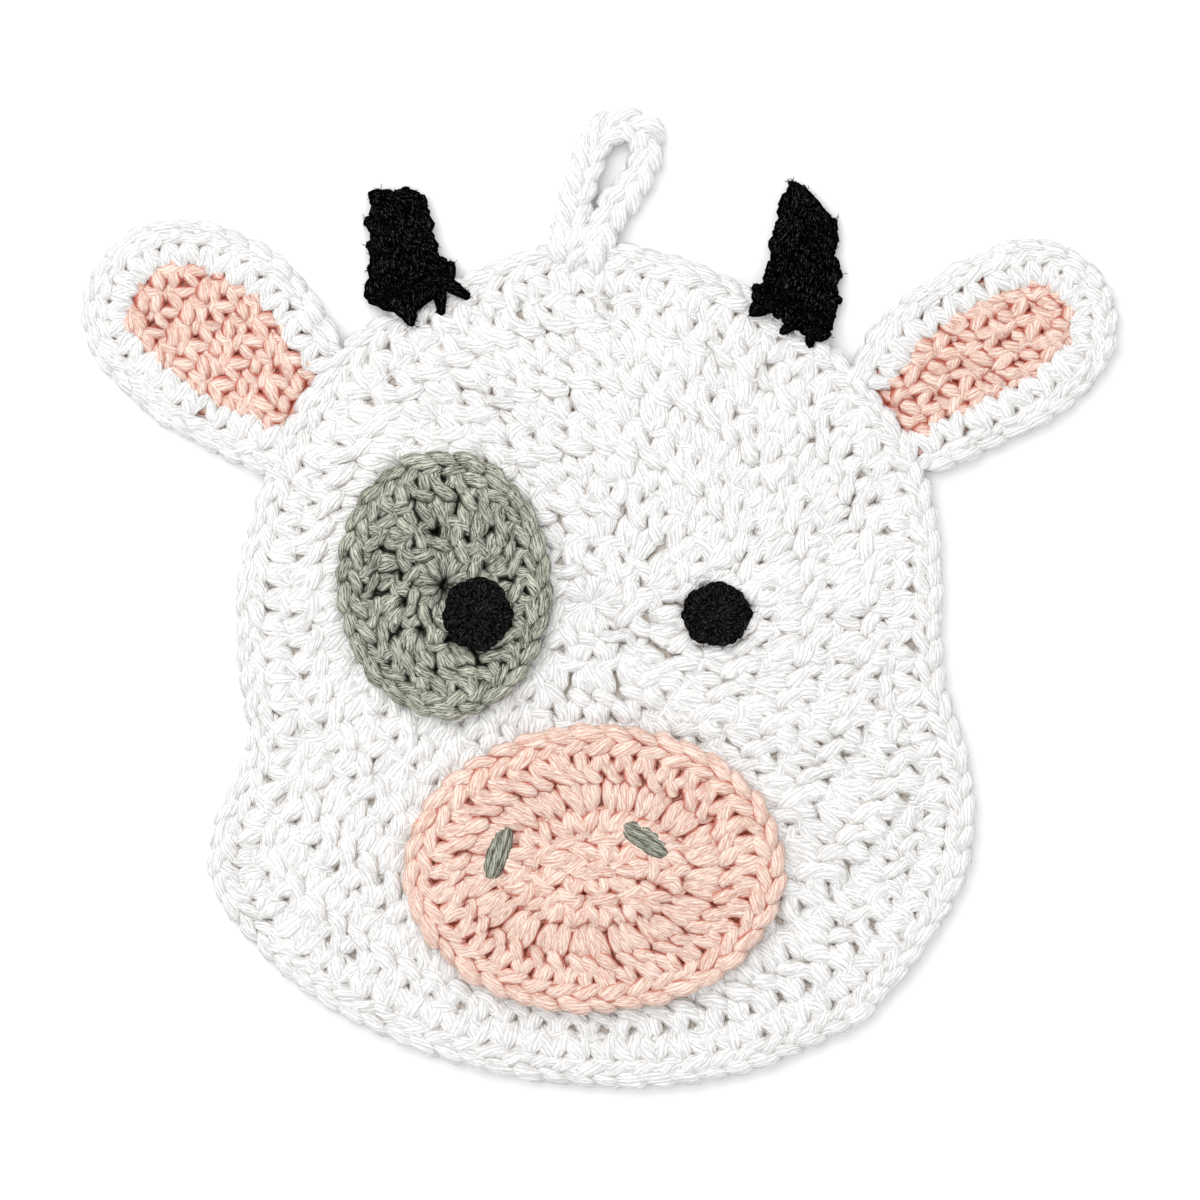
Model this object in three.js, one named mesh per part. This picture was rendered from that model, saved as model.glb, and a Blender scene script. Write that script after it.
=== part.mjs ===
// A crochet trivet in the form of a cow's head, lying face up, in millimetres with +Z up.
// The top of the head points to +Y. The head is worked in rounds, so its outline is polar about their middle.

import * as THREE from "three";

// Thicknesses of the crocheted pieces, and the gap that a sewn seam leaves between two of them.
const SEAM_GAP = 0.3;
const FACE_THICKNESS = 5.0;
const EAR_THICKNESS = 4.6;
const HORN_THICKNESS = 3.8;
const LOOP_THICKNESS = 4.2;
const OVAL_THICKNESS = 4.2;
const EYE_THICKNESS = 2.8;
const NOSTRIL_THICKNESS = 1.7;

// The head: five rounds of tall stitches, then a low round and a chain that run along the whole edge.
const ROUND_COUNT = 5;
const ROUND_HEIGHT = 15.1;
const SEAM_WIDTH = 2.6;
const SEAM_DEPTH = 0.6;
const CHEEK_ROWS = 2;
const CHEEK_ROW_HEIGHT = 16.0;
const EDGE_BAND = 12.0;
const LEAST_ROW = 6.0;
const HEAD_STEPS = 84;

// How far the head's edge lies from the middle of the rounds. The cheeks start at 202 and 341 degrees.
const HEAD_EDGE = [
  { angle: 0, radius: 86.2 },
  { angle: 12, radius: 87.6 },
  { angle: 22, radius: 88.6 },
  { angle: 43, radius: 87.3 },
  { angle: 63, radius: 87.0 },
  { angle: 81, radius: 88.7 },
  { angle: 97, radius: 89.2 },
  { angle: 112, radius: 86.8 },
  { angle: 134, radius: 88.6 },
  { angle: 158, radius: 86.6 },
  { angle: 175, radius: 87.5 },
  { angle: 192, radius: 88.8 },
  { angle: 202, radius: 91.3 },
  { angle: 206.5, radius: 98.2 },
  { angle: 210, radius: 107.8 },
  { angle: 214, radius: 115.0 },
  { angle: 219, radius: 118.2 },
  { angle: 231, radius: 119.3 },
  { angle: 248, radius: 118.9 },
  { angle: 262, radius: 118.8 },
  { angle: 275, radius: 120.4 },
  { angle: 290, radius: 122.4 },
  { angle: 303, radius: 122.9 },
  { angle: 310, radius: 120.3 },
  { angle: 318, radius: 117.2 },
  { angle: 326.5, radius: 112.7 },
  { angle: 335, radius: 103.9 },
  { angle: 341, radius: 96.4 },
  { angle: 345, radius: 91.0 },
  { angle: 352, radius: 87.2 },
];

// Sections from the underside over the edge to the top: how far in from the edge, and how high.
const HEAD_RIM = [
  { inset: 2.2, z: 0 },
  { inset: 0.6, z: 1.0 },
  { inset: 0, z: 2.4 },
  { inset: 0.3, z: 4.2 },
  { inset: 1.7, z: 5.5 },
  { inset: 3.4, z: 5.6 },
  { inset: 5.2, z: 4.6 },
  { inset: 7.4, z: FACE_THICKNESS },
  { inset: 10.2, z: FACE_THICKNESS },
];
const OVAL_RIM = [
  { inset: 1.9, z: 0 },
  { inset: 0.4, z: 0.9 },
  { inset: 0, z: 2.1 },
  { inset: 0.4, z: 3.6 },
  { inset: 1.8, z: OVAL_THICKNESS + 0.5 },
  { inset: 3.4, z: OVAL_THICKNESS + 0.5 },
  { inset: 5.4, z: OVAL_THICKNESS - 0.3 },
  { inset: 7.6, z: OVAL_THICKNESS },
];
const EAR_INNER_RIM = [
  { inset: 1.0, z: 0 },
  { inset: 0, z: 1.2 },
  { inset: 0, z: 3.0 },
  { inset: 1.2, z: EAR_THICKNESS - 0.3 },
  { inset: 3.6, z: EAR_THICKNESS - 0.3 },
];
const EYE_RIM = [
  { inset: 1.0, z: 0 },
  { inset: 0, z: 1.1 },
  { inset: 0.6, z: 2.1 },
  { inset: 2.4, z: EYE_THICKNESS },
];

// The ears, each along its own axis from the middle of its seam on the head. Positive across is the upper side.
const EARS = [
  {
    name: "left",
    side: -1,
    tilt: 31.2,
    rootAngles: { outerUpper: 133.4, innerUpper: 140.4, innerLower: 149.6, outerLower: 158.5 },
    edge: [
      { along: 6.8, across: 21.4 },
      { along: 16.3, across: 26.2 },
      { along: 27.0, across: 28.6 },
      { along: 38.5, across: 28.1 },
      { along: 49.5, across: 24.6 },
      { along: 59.0, across: 15.8 },
      { along: 62.6, across: 4.8 },
      { along: 60.6, across: -5.6 },
      { along: 52.6, across: -15.2 },
      { along: 43.5, across: -18.4 },
      { along: 30.0, across: -21.0 },
      { along: 14.0, across: -20.6 },
    ],
  },
  {
    name: "right",
    side: 1,
    tilt: 32.0,
    rootAngles: { outerUpper: 42.3, innerUpper: 35.6, innerLower: 26.0, outerLower: 20.5 },
    edge: [
      { along: 6.0, across: 20.2 },
      { along: 15.8, across: 23.4 },
      { along: 27.5, across: 24.4 },
      { along: 40.8, across: 23.4 },
      { along: 52.2, across: 20.4 },
      { along: 59.4, across: 14.0 },
      { along: 63.2, across: 4.4 },
      { along: 61.8, across: -6.2 },
      { along: 52.8, across: -16.4 },
      { along: 41.0, across: -19.8 },
      { along: 28.5, across: -20.2 },
      { along: 14.0, across: -18.2 },
    ],
  },
];
const EAR_BORDER_WIDTH = 10.8;
const EAR_STEPS = 34;
const EAR_ROOT_STEPS = 4;

// The border's section, from the outer edge (0) to the inner edge (1) and back along the underside.
const EAR_BORDER_SECTION = [
  { across: 0.1, z: 0 },
  { across: 0, z: 1.3 },
  { across: 0, z: 2.8 },
  { across: 0.1, z: 4.4 },
  { across: 0.3, z: EAR_THICKNESS + 0.5 },
  { across: 0.52, z: 4.2 },
  { across: 0.75, z: EAR_THICKNESS },
  { across: 0.94, z: 4.2 },
  { across: 1, z: 3.0 },
  { across: 1, z: 1.2 },
  { across: 0.93, z: 0 },
];

// Each horn's edge, with the bumps of its turned rows, from the middle of the head's rounds.
const HORNS = [
  {
    name: "left",
    rootAngles: [111.8, 114.5, 117.5, 121.0, 124.4],
    edge: [
      { x: -51.6, y: 73.2 },
      { x: -55.2, y: 75.8 },
      { x: -56.5, y: 79.4 },
      { x: -55.8, y: 82.6 },
      { x: -56.7, y: 87.4 },
      { x: -55.8, y: 90.8 },
      { x: -57.0, y: 94.0 },
      { x: -55.5, y: 97.6 },
      { x: -55.2, y: 102.2 },
      { x: -49.2, y: 103.2 },
      { x: -42.0, y: 102.9 },
      { x: -39.9, y: 101.0 },
      { x: -39.8, y: 98.0 },
      { x: -38.5, y: 95.4 },
      { x: -38.8, y: 92.8 },
      { x: -37.5, y: 90.8 },
      { x: -37.9, y: 88.6 },
      { x: -35.0, y: 85.4 },
      { x: -32.8, y: 83.6 },
    ],
  },
  {
    name: "right",
    rootAngles: [48.8, 52.2, 55.8, 59.4, 63.4],
    edge: [
      { x: 41.2, y: 79.8 },
      { x: 42.4, y: 83.6 },
      { x: 43.6, y: 87.0 },
      { x: 42.8, y: 90.0 },
      { x: 44.9, y: 94.0 },
      { x: 45.5, y: 99.2 },
      { x: 47.2, y: 102.8 },
      { x: 49.6, y: 105.2 },
      { x: 55.0, y: 101.4 },
      { x: 59.6, y: 98.0 },
      { x: 61.2, y: 94.6 },
      { x: 62.8, y: 90.6 },
      { x: 61.0, y: 87.2 },
      { x: 62.4, y: 83.0 },
      { x: 62.4, y: 79.8 },
      { x: 61.6, y: 76.8 },
      { x: 62.5, y: 74.2 },
      { x: 61.2, y: 69.8 },
    ],
  },
];
const HORN_STEPS = 50;

// A strip's edges are rounded by this share of its thickness, in this many steps.
const STRIP_ROUNDING = 0.28;
const STRIP_ROUNDING_STEPS = 2;

// The hanging loop's outer edge, from foot to foot over its top, and the edge of its opening.
const LOOP_FOOT_ANGLES = { left: 95.6, right: 85.6 };
const LOOP_EDGE = [
  { x: -7.9, y: 94.2 },
  { x: -8.0, y: 98.8 },
  { x: -5.8, y: 107.0 },
  { x: -3.6, y: 113.0 },
  { x: -0.7, y: 117.6 },
  { x: 3.0, y: 120.6 },
  { x: 8.0, y: 121.5 },
  { x: 13.0, y: 120.2 },
  { x: 16.4, y: 117.2 },
  { x: 17.4, y: 112.6 },
  { x: 16.8, y: 108.4 },
  { x: 14.6, y: 104.6 },
  { x: 11.2, y: 99.2 },
  { x: 8.0, y: 94.0 },
];
const LOOP_OPENING = [
  { x: 1.0, y: 97.6 },
  { x: 1.6, y: 101.8 },
  { x: 2.9, y: 106.4 },
  { x: 4.0, y: 111.4 },
  { x: 6.4, y: 114.4 },
  { x: 9.6, y: 114.7 },
  { x: 10.8, y: 112.6 },
  { x: 10.0, y: 108.4 },
  { x: 7.4, y: 104.8 },
  { x: 4.2, y: 100.2 },
];
const LOOP_STEPS = 42;
const OPENING_STEPS = 22;

// Ovals and discs sewn on the head, from the middle of its rounds. A positive lean turns the top to the right.
const PATCH = { x: -36.6, y: 4.6, halfWidth: 26.0, halfHeight: 32.6, lean: 5 };
const MUZZLE = { x: 0.6, y: -65.9, halfWidth: 47.1, halfHeight: 35.5, lean: 1.5 };
const EYES = [
  { name: "left", on: "patch", x: -28.3, y: -2.7, halfWidth: 8.2, halfHeight: 8.7 },
  { name: "right", on: "face", x: 30.9, y: -2.8, halfWidth: 8.2, halfHeight: 7.6 },
];
const OVAL_ROUND_HEIGHT = 12.5;
const OVAL_MIDDLE = 4.0;
const OVAL_STEPS = 48;
const EYE_STEPS = 24;

// Each nostril is a bundle of straight stitches from one end to the other.
const NOSTRILS = [
  { name: "left", from: { x: -20.7, y: -55.4 }, to: { x: -25.7, y: -68.6 }, width: 4.4 },
  { name: "right", from: { x: 7.3, y: -54.4 }, to: { x: 19.2, y: -62.6 }, width: 4.7 },
];
const NOSTRIL_SECTIONS = [
  { along: 0, width: 0.35, height: 0.35 },
  { along: 0.12, width: 0.72, height: 0.7 },
  { along: 0.35, width: 1, height: 1 },
  { along: 0.65, width: 1, height: 1 },
  { along: 0.88, width: 0.76, height: 0.7 },
  { along: 1, width: 0.35, height: 0.35 },
];
const NOSTRIL_STRANDS = 3;

// Across a nostril: how far out its underside reaches, and how high its sides and its furrows are.
const NOSTRIL_SECTION = { underside: 0.9, side: 0.45, furrow: 0.7 };

// Finishes of the yarns.
const WHITE = { color: 0xf3f1ee, roughness: 0.9, metalness: 0 };
const PINK = { color: 0xf2c6b6, roughness: 0.9, metalness: 0 };
const SAGE = { color: 0x9a9f8c, roughness: 0.9, metalness: 0 };
const DARK_SAGE = { color: 0x86937f, roughness: 0.85, metalness: 0 };
const BLACK = { color: 0x121112, roughness: 0.95, metalness: 0 };

const radians = THREE.MathUtils.degToRad;

// The point at an angle and a distance from the middle of the rounds.
function polar(angle, radius) {
  return new THREE.Vector2(Math.cos(radians(angle)) * radius, Math.sin(radians(angle)) * radius);
}

// A smooth value between the rows of a table that goes once round the circle.
function roundTable(rows, angle, column) {
  const count = rows.length;
  const turned = THREE.MathUtils.euclideanModulo(angle, 360);
  const here = rows.findLastIndex((row) => row.angle <= turned);
  const at = (step) => rows[(here + step + count) % count];
  const angleAt = (step) => at(step).angle + 360 * Math.floor((here + step) / count);
  const slope = (step) =>
    (at(step + 1)[column] - at(step - 1)[column]) / (angleAt(step + 1) - angleAt(step - 1));
  const span = angleAt(1) - angleAt(0);
  const t = (turned - angleAt(0)) / span;
  const start = at(0)[column] * (2 * t ** 3 - 3 * t ** 2 + 1);
  const end = at(1)[column] * (3 * t ** 2 - 2 * t ** 3);
  const leave = slope(0) * span * (t ** 3 - 2 * t ** 2 + t);
  const arrive = slope(1) * span * (t ** 3 - t ** 2);
  return start + end + leave + arrive;
}

function headRadius(angle) {
  return roundTable(HEAD_EDGE, angle, "radius");
}

// Points along a smooth curve through the rows of a table.
function smooth(points, steps, closed) {
  const through = points.map((point) => new THREE.Vector3(point.x, point.y, 0));
  const curve = new THREE.CatmullRomCurve3(through, closed, "centripetal");
  const samples = curve.getSpacedPoints(steps).map((point) => new THREE.Vector2(point.x, point.y));
  return closed ? samples.slice(0, -1) : samples;
}

// Collects triangles and leaves out those that have shrunk to a line.
class Shell {
  constructor() {
    this.positions = [];
  }

  triangle(a, b, c) {
    if (a.distanceTo(b) > 0 && b.distanceTo(c) > 0 && c.distanceTo(a) > 0) {
      for (const corner of [a, b, c]) this.positions.push(corner.x, corner.y, corner.z);
    }
  }

  band(lower, upper) {
    for (let i = 0; i < lower.length; i++) {
      const next = (i + 1) % lower.length;
      this.triangle(lower[i], lower[next], upper[next]);
      this.triangle(lower[i], upper[next], upper[i]);
    }
  }

  cap(ring, facing) {
    const middle = ring.reduce((sum, point) => sum.add(point), new THREE.Vector3());
    middle.divideScalar(ring.length);
    for (let i = 0; i < ring.length; i++) {
      const next = (i + 1) % ring.length;
      if (facing > 0) this.triangle(middle, ring[i], ring[next]);
      else this.triangle(middle, ring[next], ring[i]);
    }
  }

  geometry() {
    const made = new THREE.BufferGeometry();
    made.setAttribute("position", new THREE.Float32BufferAttribute(this.positions, 3));
    made.computeVertexNormals();
    return made;
  }
}

// A closed solid through rings of equal length, capped at its first and last ring.
function loft(rings) {
  const shell = new Shell();
  shell.cap(rings[0], -1);
  for (let i = 0; i + 1 < rings.length; i++) shell.band(rings[i], rings[i + 1]);
  shell.cap(rings.at(-1), 1);
  return shell.geometry();
}

// A ring round a middle point, given the radius and the height at each angle.
function ringRound(middle, steps, radiusAt, z) {
  return Array.from({ length: steps }, (_, i) => {
    const angle = (360 * i) / steps;
    const out = polar(angle, radiusAt(angle));
    return new THREE.Vector3(middle.x + out.x, middle.y + out.y, z);
  });
}

// How far each seam between two rows lies from the middle, from the cheeks inwards.
function seamRadii() {
  const rounds = Array.from({ length: ROUND_COUNT }, (_, i) => (i + 1) * ROUND_HEIGHT);
  const cheeks = Array.from({ length: CHEEK_ROWS }, (_, i) => {
    return ROUND_COUNT * ROUND_HEIGHT + (i + 1) * CHEEK_ROW_HEIGHT;
  });
  return [...rounds, ...cheeks].reverse();
}

// The three rings of a groove: its outer lip, its bottom and its inner lip.
const GROOVE = [
  { offset: SEAM_WIDTH / 2, z: FACE_THICKNESS },
  { offset: 0, z: FACE_THICKNESS - SEAM_DEPTH },
  { offset: -SEAM_WIDTH / 2, z: FACE_THICKNESS },
];

// A seam runs round the head where its row has room inside the edge band, and along that band elsewhere.
function faceGeometry() {
  const middle = new THREE.Vector2(0, 0);
  const band = (angle) => headRadius(angle) - EDGE_BAND;
  const rings = HEAD_RIM.map((row) => {
    return ringRound(middle, HEAD_STEPS, (angle) => headRadius(angle) - row.inset, row.z);
  });
  for (const { offset, z } of GROOVE) {
    rings.push(ringRound(middle, HEAD_STEPS, (angle) => band(angle) + offset, z));
  }
  for (const seam of seamRadii()) {
    for (const { offset, z } of GROOVE) {
      const radiusAt = (angle) => {
        return seam > band(angle) - LEAST_ROW ? band(angle) - SEAM_WIDTH / 2 : seam + offset;
      };
      rings.push(ringRound(middle, HEAD_STEPS, radiusAt, z));
    }
  }
  return loft(evenHeights(rings));
}

// Where a band of rings has no width, its points take the height of the first of them.
function evenHeights(rings) {
  for (let i = 1; i < rings.length; i++) {
    for (let j = 0; j < rings[i].length; j++) {
      const above = rings[i - 1][j];
      const point = rings[i][j];
      if (point.x === above.x && point.y === above.y) point.z = above.z;
    }
  }
  return rings;
}

// The radius of a leaning ellipse at an angle from its middle, with its edge moved in by an inset.
function ellipseRadius(oval, angle, inset) {
  const turned = radians(angle + (oval.lean ?? 0));
  const across = Math.cos(turned) / (oval.halfWidth - inset);
  const upwards = Math.sin(turned) / (oval.halfHeight - inset);
  return 1 / Math.hypot(across, upwards);
}

// An oval worked in rounds, with a chain round its edge and a shallow seam between its rounds.
function ovalGeometry(oval, rim, steps, base) {
  const radiusIn = (inset) => (angle) => ellipseRadius(oval, angle, inset);
  const rings = rim.map((row) => ringRound(oval, steps, radiusIn(row.inset), base + row.z));
  const shortest = Math.min(oval.halfWidth, oval.halfHeight);
  const top = rim.at(-1);
  for (let seam = top.inset + OVAL_ROUND_HEIGHT; seam < shortest - OVAL_MIDDLE; seam += OVAL_ROUND_HEIGHT) {
    rings.push(ringRound(oval, steps, radiusIn(seam - SEAM_WIDTH / 2), base + top.z));
    rings.push(ringRound(oval, steps, radiusIn(seam), base + top.z - SEAM_DEPTH));
    rings.push(ringRound(oval, steps, radiusIn(seam + SEAM_WIDTH / 2), base + top.z));
  }
  return loft(rings);
}

// A point of an ear, from its own along and across to the head's frame.
function earPoint(ear, row) {
  const { outerUpper, outerLower } = ear.rootAngles;
  const root = onHeadEdge(outerUpper).lerp(onHeadEdge(outerLower), 0.5);
  const lift = radians(ear.tilt);
  const axis = new THREE.Vector2(ear.side * Math.cos(lift), Math.sin(lift));
  const upward = new THREE.Vector2(-ear.side * Math.sin(lift), Math.cos(lift));
  return root.addScaledVector(axis, row.along).addScaledVector(upward, row.across);
}

function onHeadEdge(angle) {
  return polar(angle, headRadius(angle) + SEAM_GAP);
}

// The outer and inner edges of an ear's border, from its upper to its lower root.
function earEdges(ear) {
  const roots = ear.rootAngles;
  const through = [onHeadEdge(roots.outerUpper), ...ear.edge.map((row) => earPoint(ear, row))];
  through.push(onHeadEdge(roots.outerLower));
  const outer = smooth(through, EAR_STEPS, false);
  const inner = outer.map((point, i) => {
    const before = outer[Math.max(i - 1, 0)];
    const after = outer[Math.min(i + 1, outer.length - 1)];
    const ahead = after.clone().sub(before).normalize();
    const inward = new THREE.Vector2(-ear.side * -ahead.y, -ear.side * ahead.x);
    return point.clone().addScaledVector(inward, EAR_BORDER_WIDTH);
  });
  const between = inner.slice(1, -1).filter(clearOfHead);
  const line = [onHeadEdge(roots.innerUpper), ...between, onHeadEdge(roots.innerLower)];
  return { outer, inner: smooth(line, EAR_STEPS, false) };
}

// Whether a point lies outside the head's edge.
function clearOfHead(point) {
  const angle = THREE.MathUtils.radToDeg(Math.atan2(point.y, point.x));
  return point.length() > headRadius(angle) + SEAM_GAP;
}

function earBorderGeometry(ear) {
  const { outer, inner } = earEdges(ear);
  const sections = outer.map((start, i) => {
    return EAR_BORDER_SECTION.map(({ across, z }) => {
      const point = start.clone().lerp(inner[i], across);
      return new THREE.Vector3(point.x, point.y, z);
    });
  });
  return ear.side > 0 ? loft(sections) : loft(sections.reverse());
}

function earInnerGeometry(ear) {
  const { inner } = earEdges(ear);
  const roots = ear.rootAngles;
  const line = inner.slice();
  for (let i = 1; i < EAR_ROOT_STEPS; i++) {
    const angle = THREE.MathUtils.lerp(roots.innerLower, roots.innerUpper, i / EAR_ROOT_STEPS);
    line.push(onHeadEdge(angle));
  }
  if (ear.side > 0) line.reverse();
  const rings = EAR_INNER_RIM.map((row) => inwards(line, row.inset + SEAM_GAP, row.z));
  return loft(rings);
}

// A closed line moved inwards by an inset, at a height.
function inwards(line, inset, z) {
  return line.map((point, i) => {
    const before = line[(i + line.length - 1) % line.length];
    const after = line[(i + 1) % line.length];
    const ahead = after.clone().sub(before).normalize();
    return new THREE.Vector3(point.x - ahead.y * inset, point.y + ahead.x * inset, z);
  });
}

// The same outline, running round its area to the left.
function leftHanded(outline) {
  return THREE.ShapeUtils.area(outline) < 0 ? outline.toReversed() : outline;
}

// A flat strip of crochet with rounded edges, extruded from its outline.
function stripGeometry(outline, openings, thickness) {
  const shape = new THREE.Shape(leftHanded(outline));
  shape.holes = openings.map((opening) => new THREE.Path(opening));
  const rounding = thickness * STRIP_ROUNDING;
  return new THREE.ExtrudeGeometry(shape, {
    depth: thickness - 2 * rounding,
    bevelThickness: rounding,
    bevelSize: rounding,
    bevelOffset: -rounding,
    bevelSegments: STRIP_ROUNDING_STEPS,
    steps: 1,
  }).translate(0, 0, rounding);
}

function hornGeometry(horn) {
  const edge = horn.edge.map((row) => new THREE.Vector2(row.x, row.y));
  const root = horn.rootAngles.map(onHeadEdge);
  return stripGeometry([...smooth(edge, HORN_STEPS, false), ...root], [], HORN_THICKNESS);
}

function loopGeometry() {
  const feet = LOOP_FOOT_ANGLES;
  const edge = [onHeadEdge(feet.left), ...LOOP_EDGE, onHeadEdge(feet.right)];
  const outline = smooth(edge, LOOP_STEPS, false);
  const between = THREE.MathUtils.lerp(feet.left, feet.right, 0.5);
  outline.push(onHeadEdge(between));
  return stripGeometry(outline, [smooth(LOOP_OPENING, OPENING_STEPS, true)], LOOP_THICKNESS);
}

// A bundle of straight stitches: low sections across it, with a ridge for each strand.
function nostrilGeometry(nostril, base) {
  const from = new THREE.Vector2(nostril.from.x, nostril.from.y);
  const to = new THREE.Vector2(nostril.to.x, nostril.to.y);
  const ahead = to.clone().sub(from).normalize();
  const aside = new THREE.Vector2(-ahead.y, ahead.x);
  const half = nostril.width / 2;
  const sections = NOSTRIL_SECTIONS.map((section) => {
    const middle = from.clone().lerp(to, section.along);
    const place = (share, height) => {
      const point = middle.clone().addScaledVector(aside, share * half * section.width);
      return new THREE.Vector3(point.x, point.y, base + height * section.height * NOSTRIL_THICKNESS);
    };
    const { underside, side, furrow } = NOSTRIL_SECTION;
    const ring = [place(underside, 0), place(-underside, 0)];
    for (let strand = 0; strand < NOSTRIL_STRANDS; strand++) {
      const start = (2 * strand) / NOSTRIL_STRANDS - 1;
      ring.push(place(start, strand === 0 ? side : furrow));
      ring.push(place(start + 1 / NOSTRIL_STRANDS, 1));
    }
    ring.push(place(1, side));
    return ring.reverse();
  });
  return loft(sections);
}

function addPiece(group, name, geometry, finish) {
  const mesh = new THREE.Mesh(geometry, new THREE.MeshStandardMaterial(finish));
  mesh.name = name;
  group.add(mesh);
}

function buildTrivet() {
  const trivet = new THREE.Group();
  const onFace = FACE_THICKNESS + SEAM_GAP;
  const onOval = onFace + OVAL_THICKNESS + SEAM_GAP;
  addPiece(trivet, "face", faceGeometry(), WHITE);
  for (const ear of EARS) {
    addPiece(trivet, `ear_${ear.name}_border`, earBorderGeometry(ear), WHITE);
    addPiece(trivet, `ear_${ear.name}_inner`, earInnerGeometry(ear), PINK);
  }
  for (const horn of HORNS) addPiece(trivet, `horn_${horn.name}`, hornGeometry(horn), BLACK);
  addPiece(trivet, "hanging_loop", loopGeometry(), WHITE);
  addPiece(trivet, "patch", ovalGeometry(PATCH, OVAL_RIM, OVAL_STEPS, onFace), SAGE);
  addPiece(trivet, "muzzle", ovalGeometry(MUZZLE, OVAL_RIM, OVAL_STEPS, onFace), PINK);
  for (const eye of EYES) {
    const base = eye.on === "patch" ? onOval : onFace;
    addPiece(trivet, `eye_${eye.name}`, ovalGeometry(eye, EYE_RIM, EYE_STEPS, base), BLACK);
  }
  for (const nostril of NOSTRILS) {
    addPiece(trivet, `nostril_${nostril.name}`, nostrilGeometry(nostril, onOval), DARK_SAGE);
  }
  return trivet;
}

// The part's origin is under the middle of the whole, on the surface that it lies on.
function centred(trivet) {
  const middle = new THREE.Box3().setFromObject(trivet).getCenter(new THREE.Vector3());
  trivet.position.set(-middle.x, -middle.y, 0);
  return trivet;
}

export default centred(buildTrivet());
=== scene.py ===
# %% [markdown]
# A crochet trivet
# This is a flat kitchen trivet in the form of a cow's head, crocheted in cotton yarn. A crocheted thing is
# one long yarn that dives through its own loops, so what shows is rows of short plump lobes with dark
# pinholes between them. A bump map can't give that its uneven edge or its depth, and a simulation of loops
# is slow. So each stitch here is a short list of points that a real yarn passes, the list is repeated along
# a row with a little unevenness, and a tube follows it. The frame holds the plain solids of every sewn
# piece, in metres. Sizes below are in millimetres in that same frame, apart from those of the floor, the
# lamp, the camera's range and the relief, which are in metres.

# %% Load the frame
import math

import bpy
import numpy as np
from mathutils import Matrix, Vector


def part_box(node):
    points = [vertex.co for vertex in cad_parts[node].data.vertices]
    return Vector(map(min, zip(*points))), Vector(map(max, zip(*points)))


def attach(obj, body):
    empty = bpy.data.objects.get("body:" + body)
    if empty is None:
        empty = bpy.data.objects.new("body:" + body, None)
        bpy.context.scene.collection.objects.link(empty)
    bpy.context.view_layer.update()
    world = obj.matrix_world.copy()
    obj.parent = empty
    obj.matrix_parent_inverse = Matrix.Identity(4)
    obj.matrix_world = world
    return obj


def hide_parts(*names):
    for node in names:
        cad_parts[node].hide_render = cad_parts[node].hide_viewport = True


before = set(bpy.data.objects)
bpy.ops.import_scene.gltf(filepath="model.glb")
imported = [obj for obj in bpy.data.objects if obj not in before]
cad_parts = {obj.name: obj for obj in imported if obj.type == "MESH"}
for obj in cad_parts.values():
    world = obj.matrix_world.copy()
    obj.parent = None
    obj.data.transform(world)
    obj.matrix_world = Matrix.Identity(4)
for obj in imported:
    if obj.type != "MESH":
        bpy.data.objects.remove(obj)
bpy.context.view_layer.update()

MM = 0.001
print("nodes in the frame:", len(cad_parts))

# %% [markdown]
# The view
# The trivet lies flat and is seen from straight above, so the camera looks down. A long lens from two
# metres away keeps the edges from leaning. The picture is square, and one of its pixels is about a quarter
# of a millimetre on the cloth, which fixes how wide the lens has to see.

# %% Camera
PICTURE_PIXELS = 1200
PIXEL = 0.248
CAMERA_HEIGHT = 2000.0
FOCUS_HEIGHT = 5.0
SENSOR = 36.0
SEES_TO = 20.0

camera_data = bpy.data.cameras.new("camera")
camera_data.sensor_width = SENSOR
camera_data.lens = SENSOR * (CAMERA_HEIGHT - FOCUS_HEIGHT) / (PICTURE_PIXELS * PIXEL)
camera_data.clip_end = SEES_TO
camera = bpy.data.objects.new("camera", camera_data)
bpy.context.scene.collection.objects.link(camera)
camera.location = (0.0, 0.0, CAMERA_HEIGHT * MM)
bpy.context.scene.camera = camera
print("lens", round(camera_data.lens, 1), "mm")

# %% [markdown]
# Shader maths
# A yarn's colour and relief are worked out from where a point is round and along the yarn. Written as nodes
# that is a long web, so a small class wraps a socket and turns Python's own operators into Math nodes. Any
# other node comes from its one method called node.


# %% A socket that can be added and multiplied
class Shade:
    def __init__(self, tree, socket=None):
        self.tree = tree
        self.socket = socket

    def node(self, kind, settings, values, output=0):
        """Add a node, set what it is set to, fill its sockets, and give one of its outputs."""
        new = self.tree.nodes.new("ShaderNode" + kind)
        for name, value in settings.items():
            setattr(new, name, value)
        for name, value in values.items():
            if isinstance(value, Shade):
                self.tree.links.new(value.socket, new.inputs[name])
            else:
                new.inputs[name].default_value = value
        return Shade(self.tree, new.outputs[output])

    def maths(self, operation, *values):
        return self.node("Math", {"operation": operation}, dict(enumerate(values)))

    def __add__(self, other):
        return self.maths("ADD", self, other)

    def __mul__(self, other):
        return self.maths("MULTIPLY", self, other)

    def __sub__(self, other):
        return self.maths("SUBTRACT", self, other)

    def __rsub__(self, other):
        return self.maths("SUBTRACT", other, self)

    def __pow__(self, other):
        return self.maths("POWER", self, other)

    __radd__ = __add__
    __rmul__ = __mul__


print("shader maths is ready")
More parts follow.
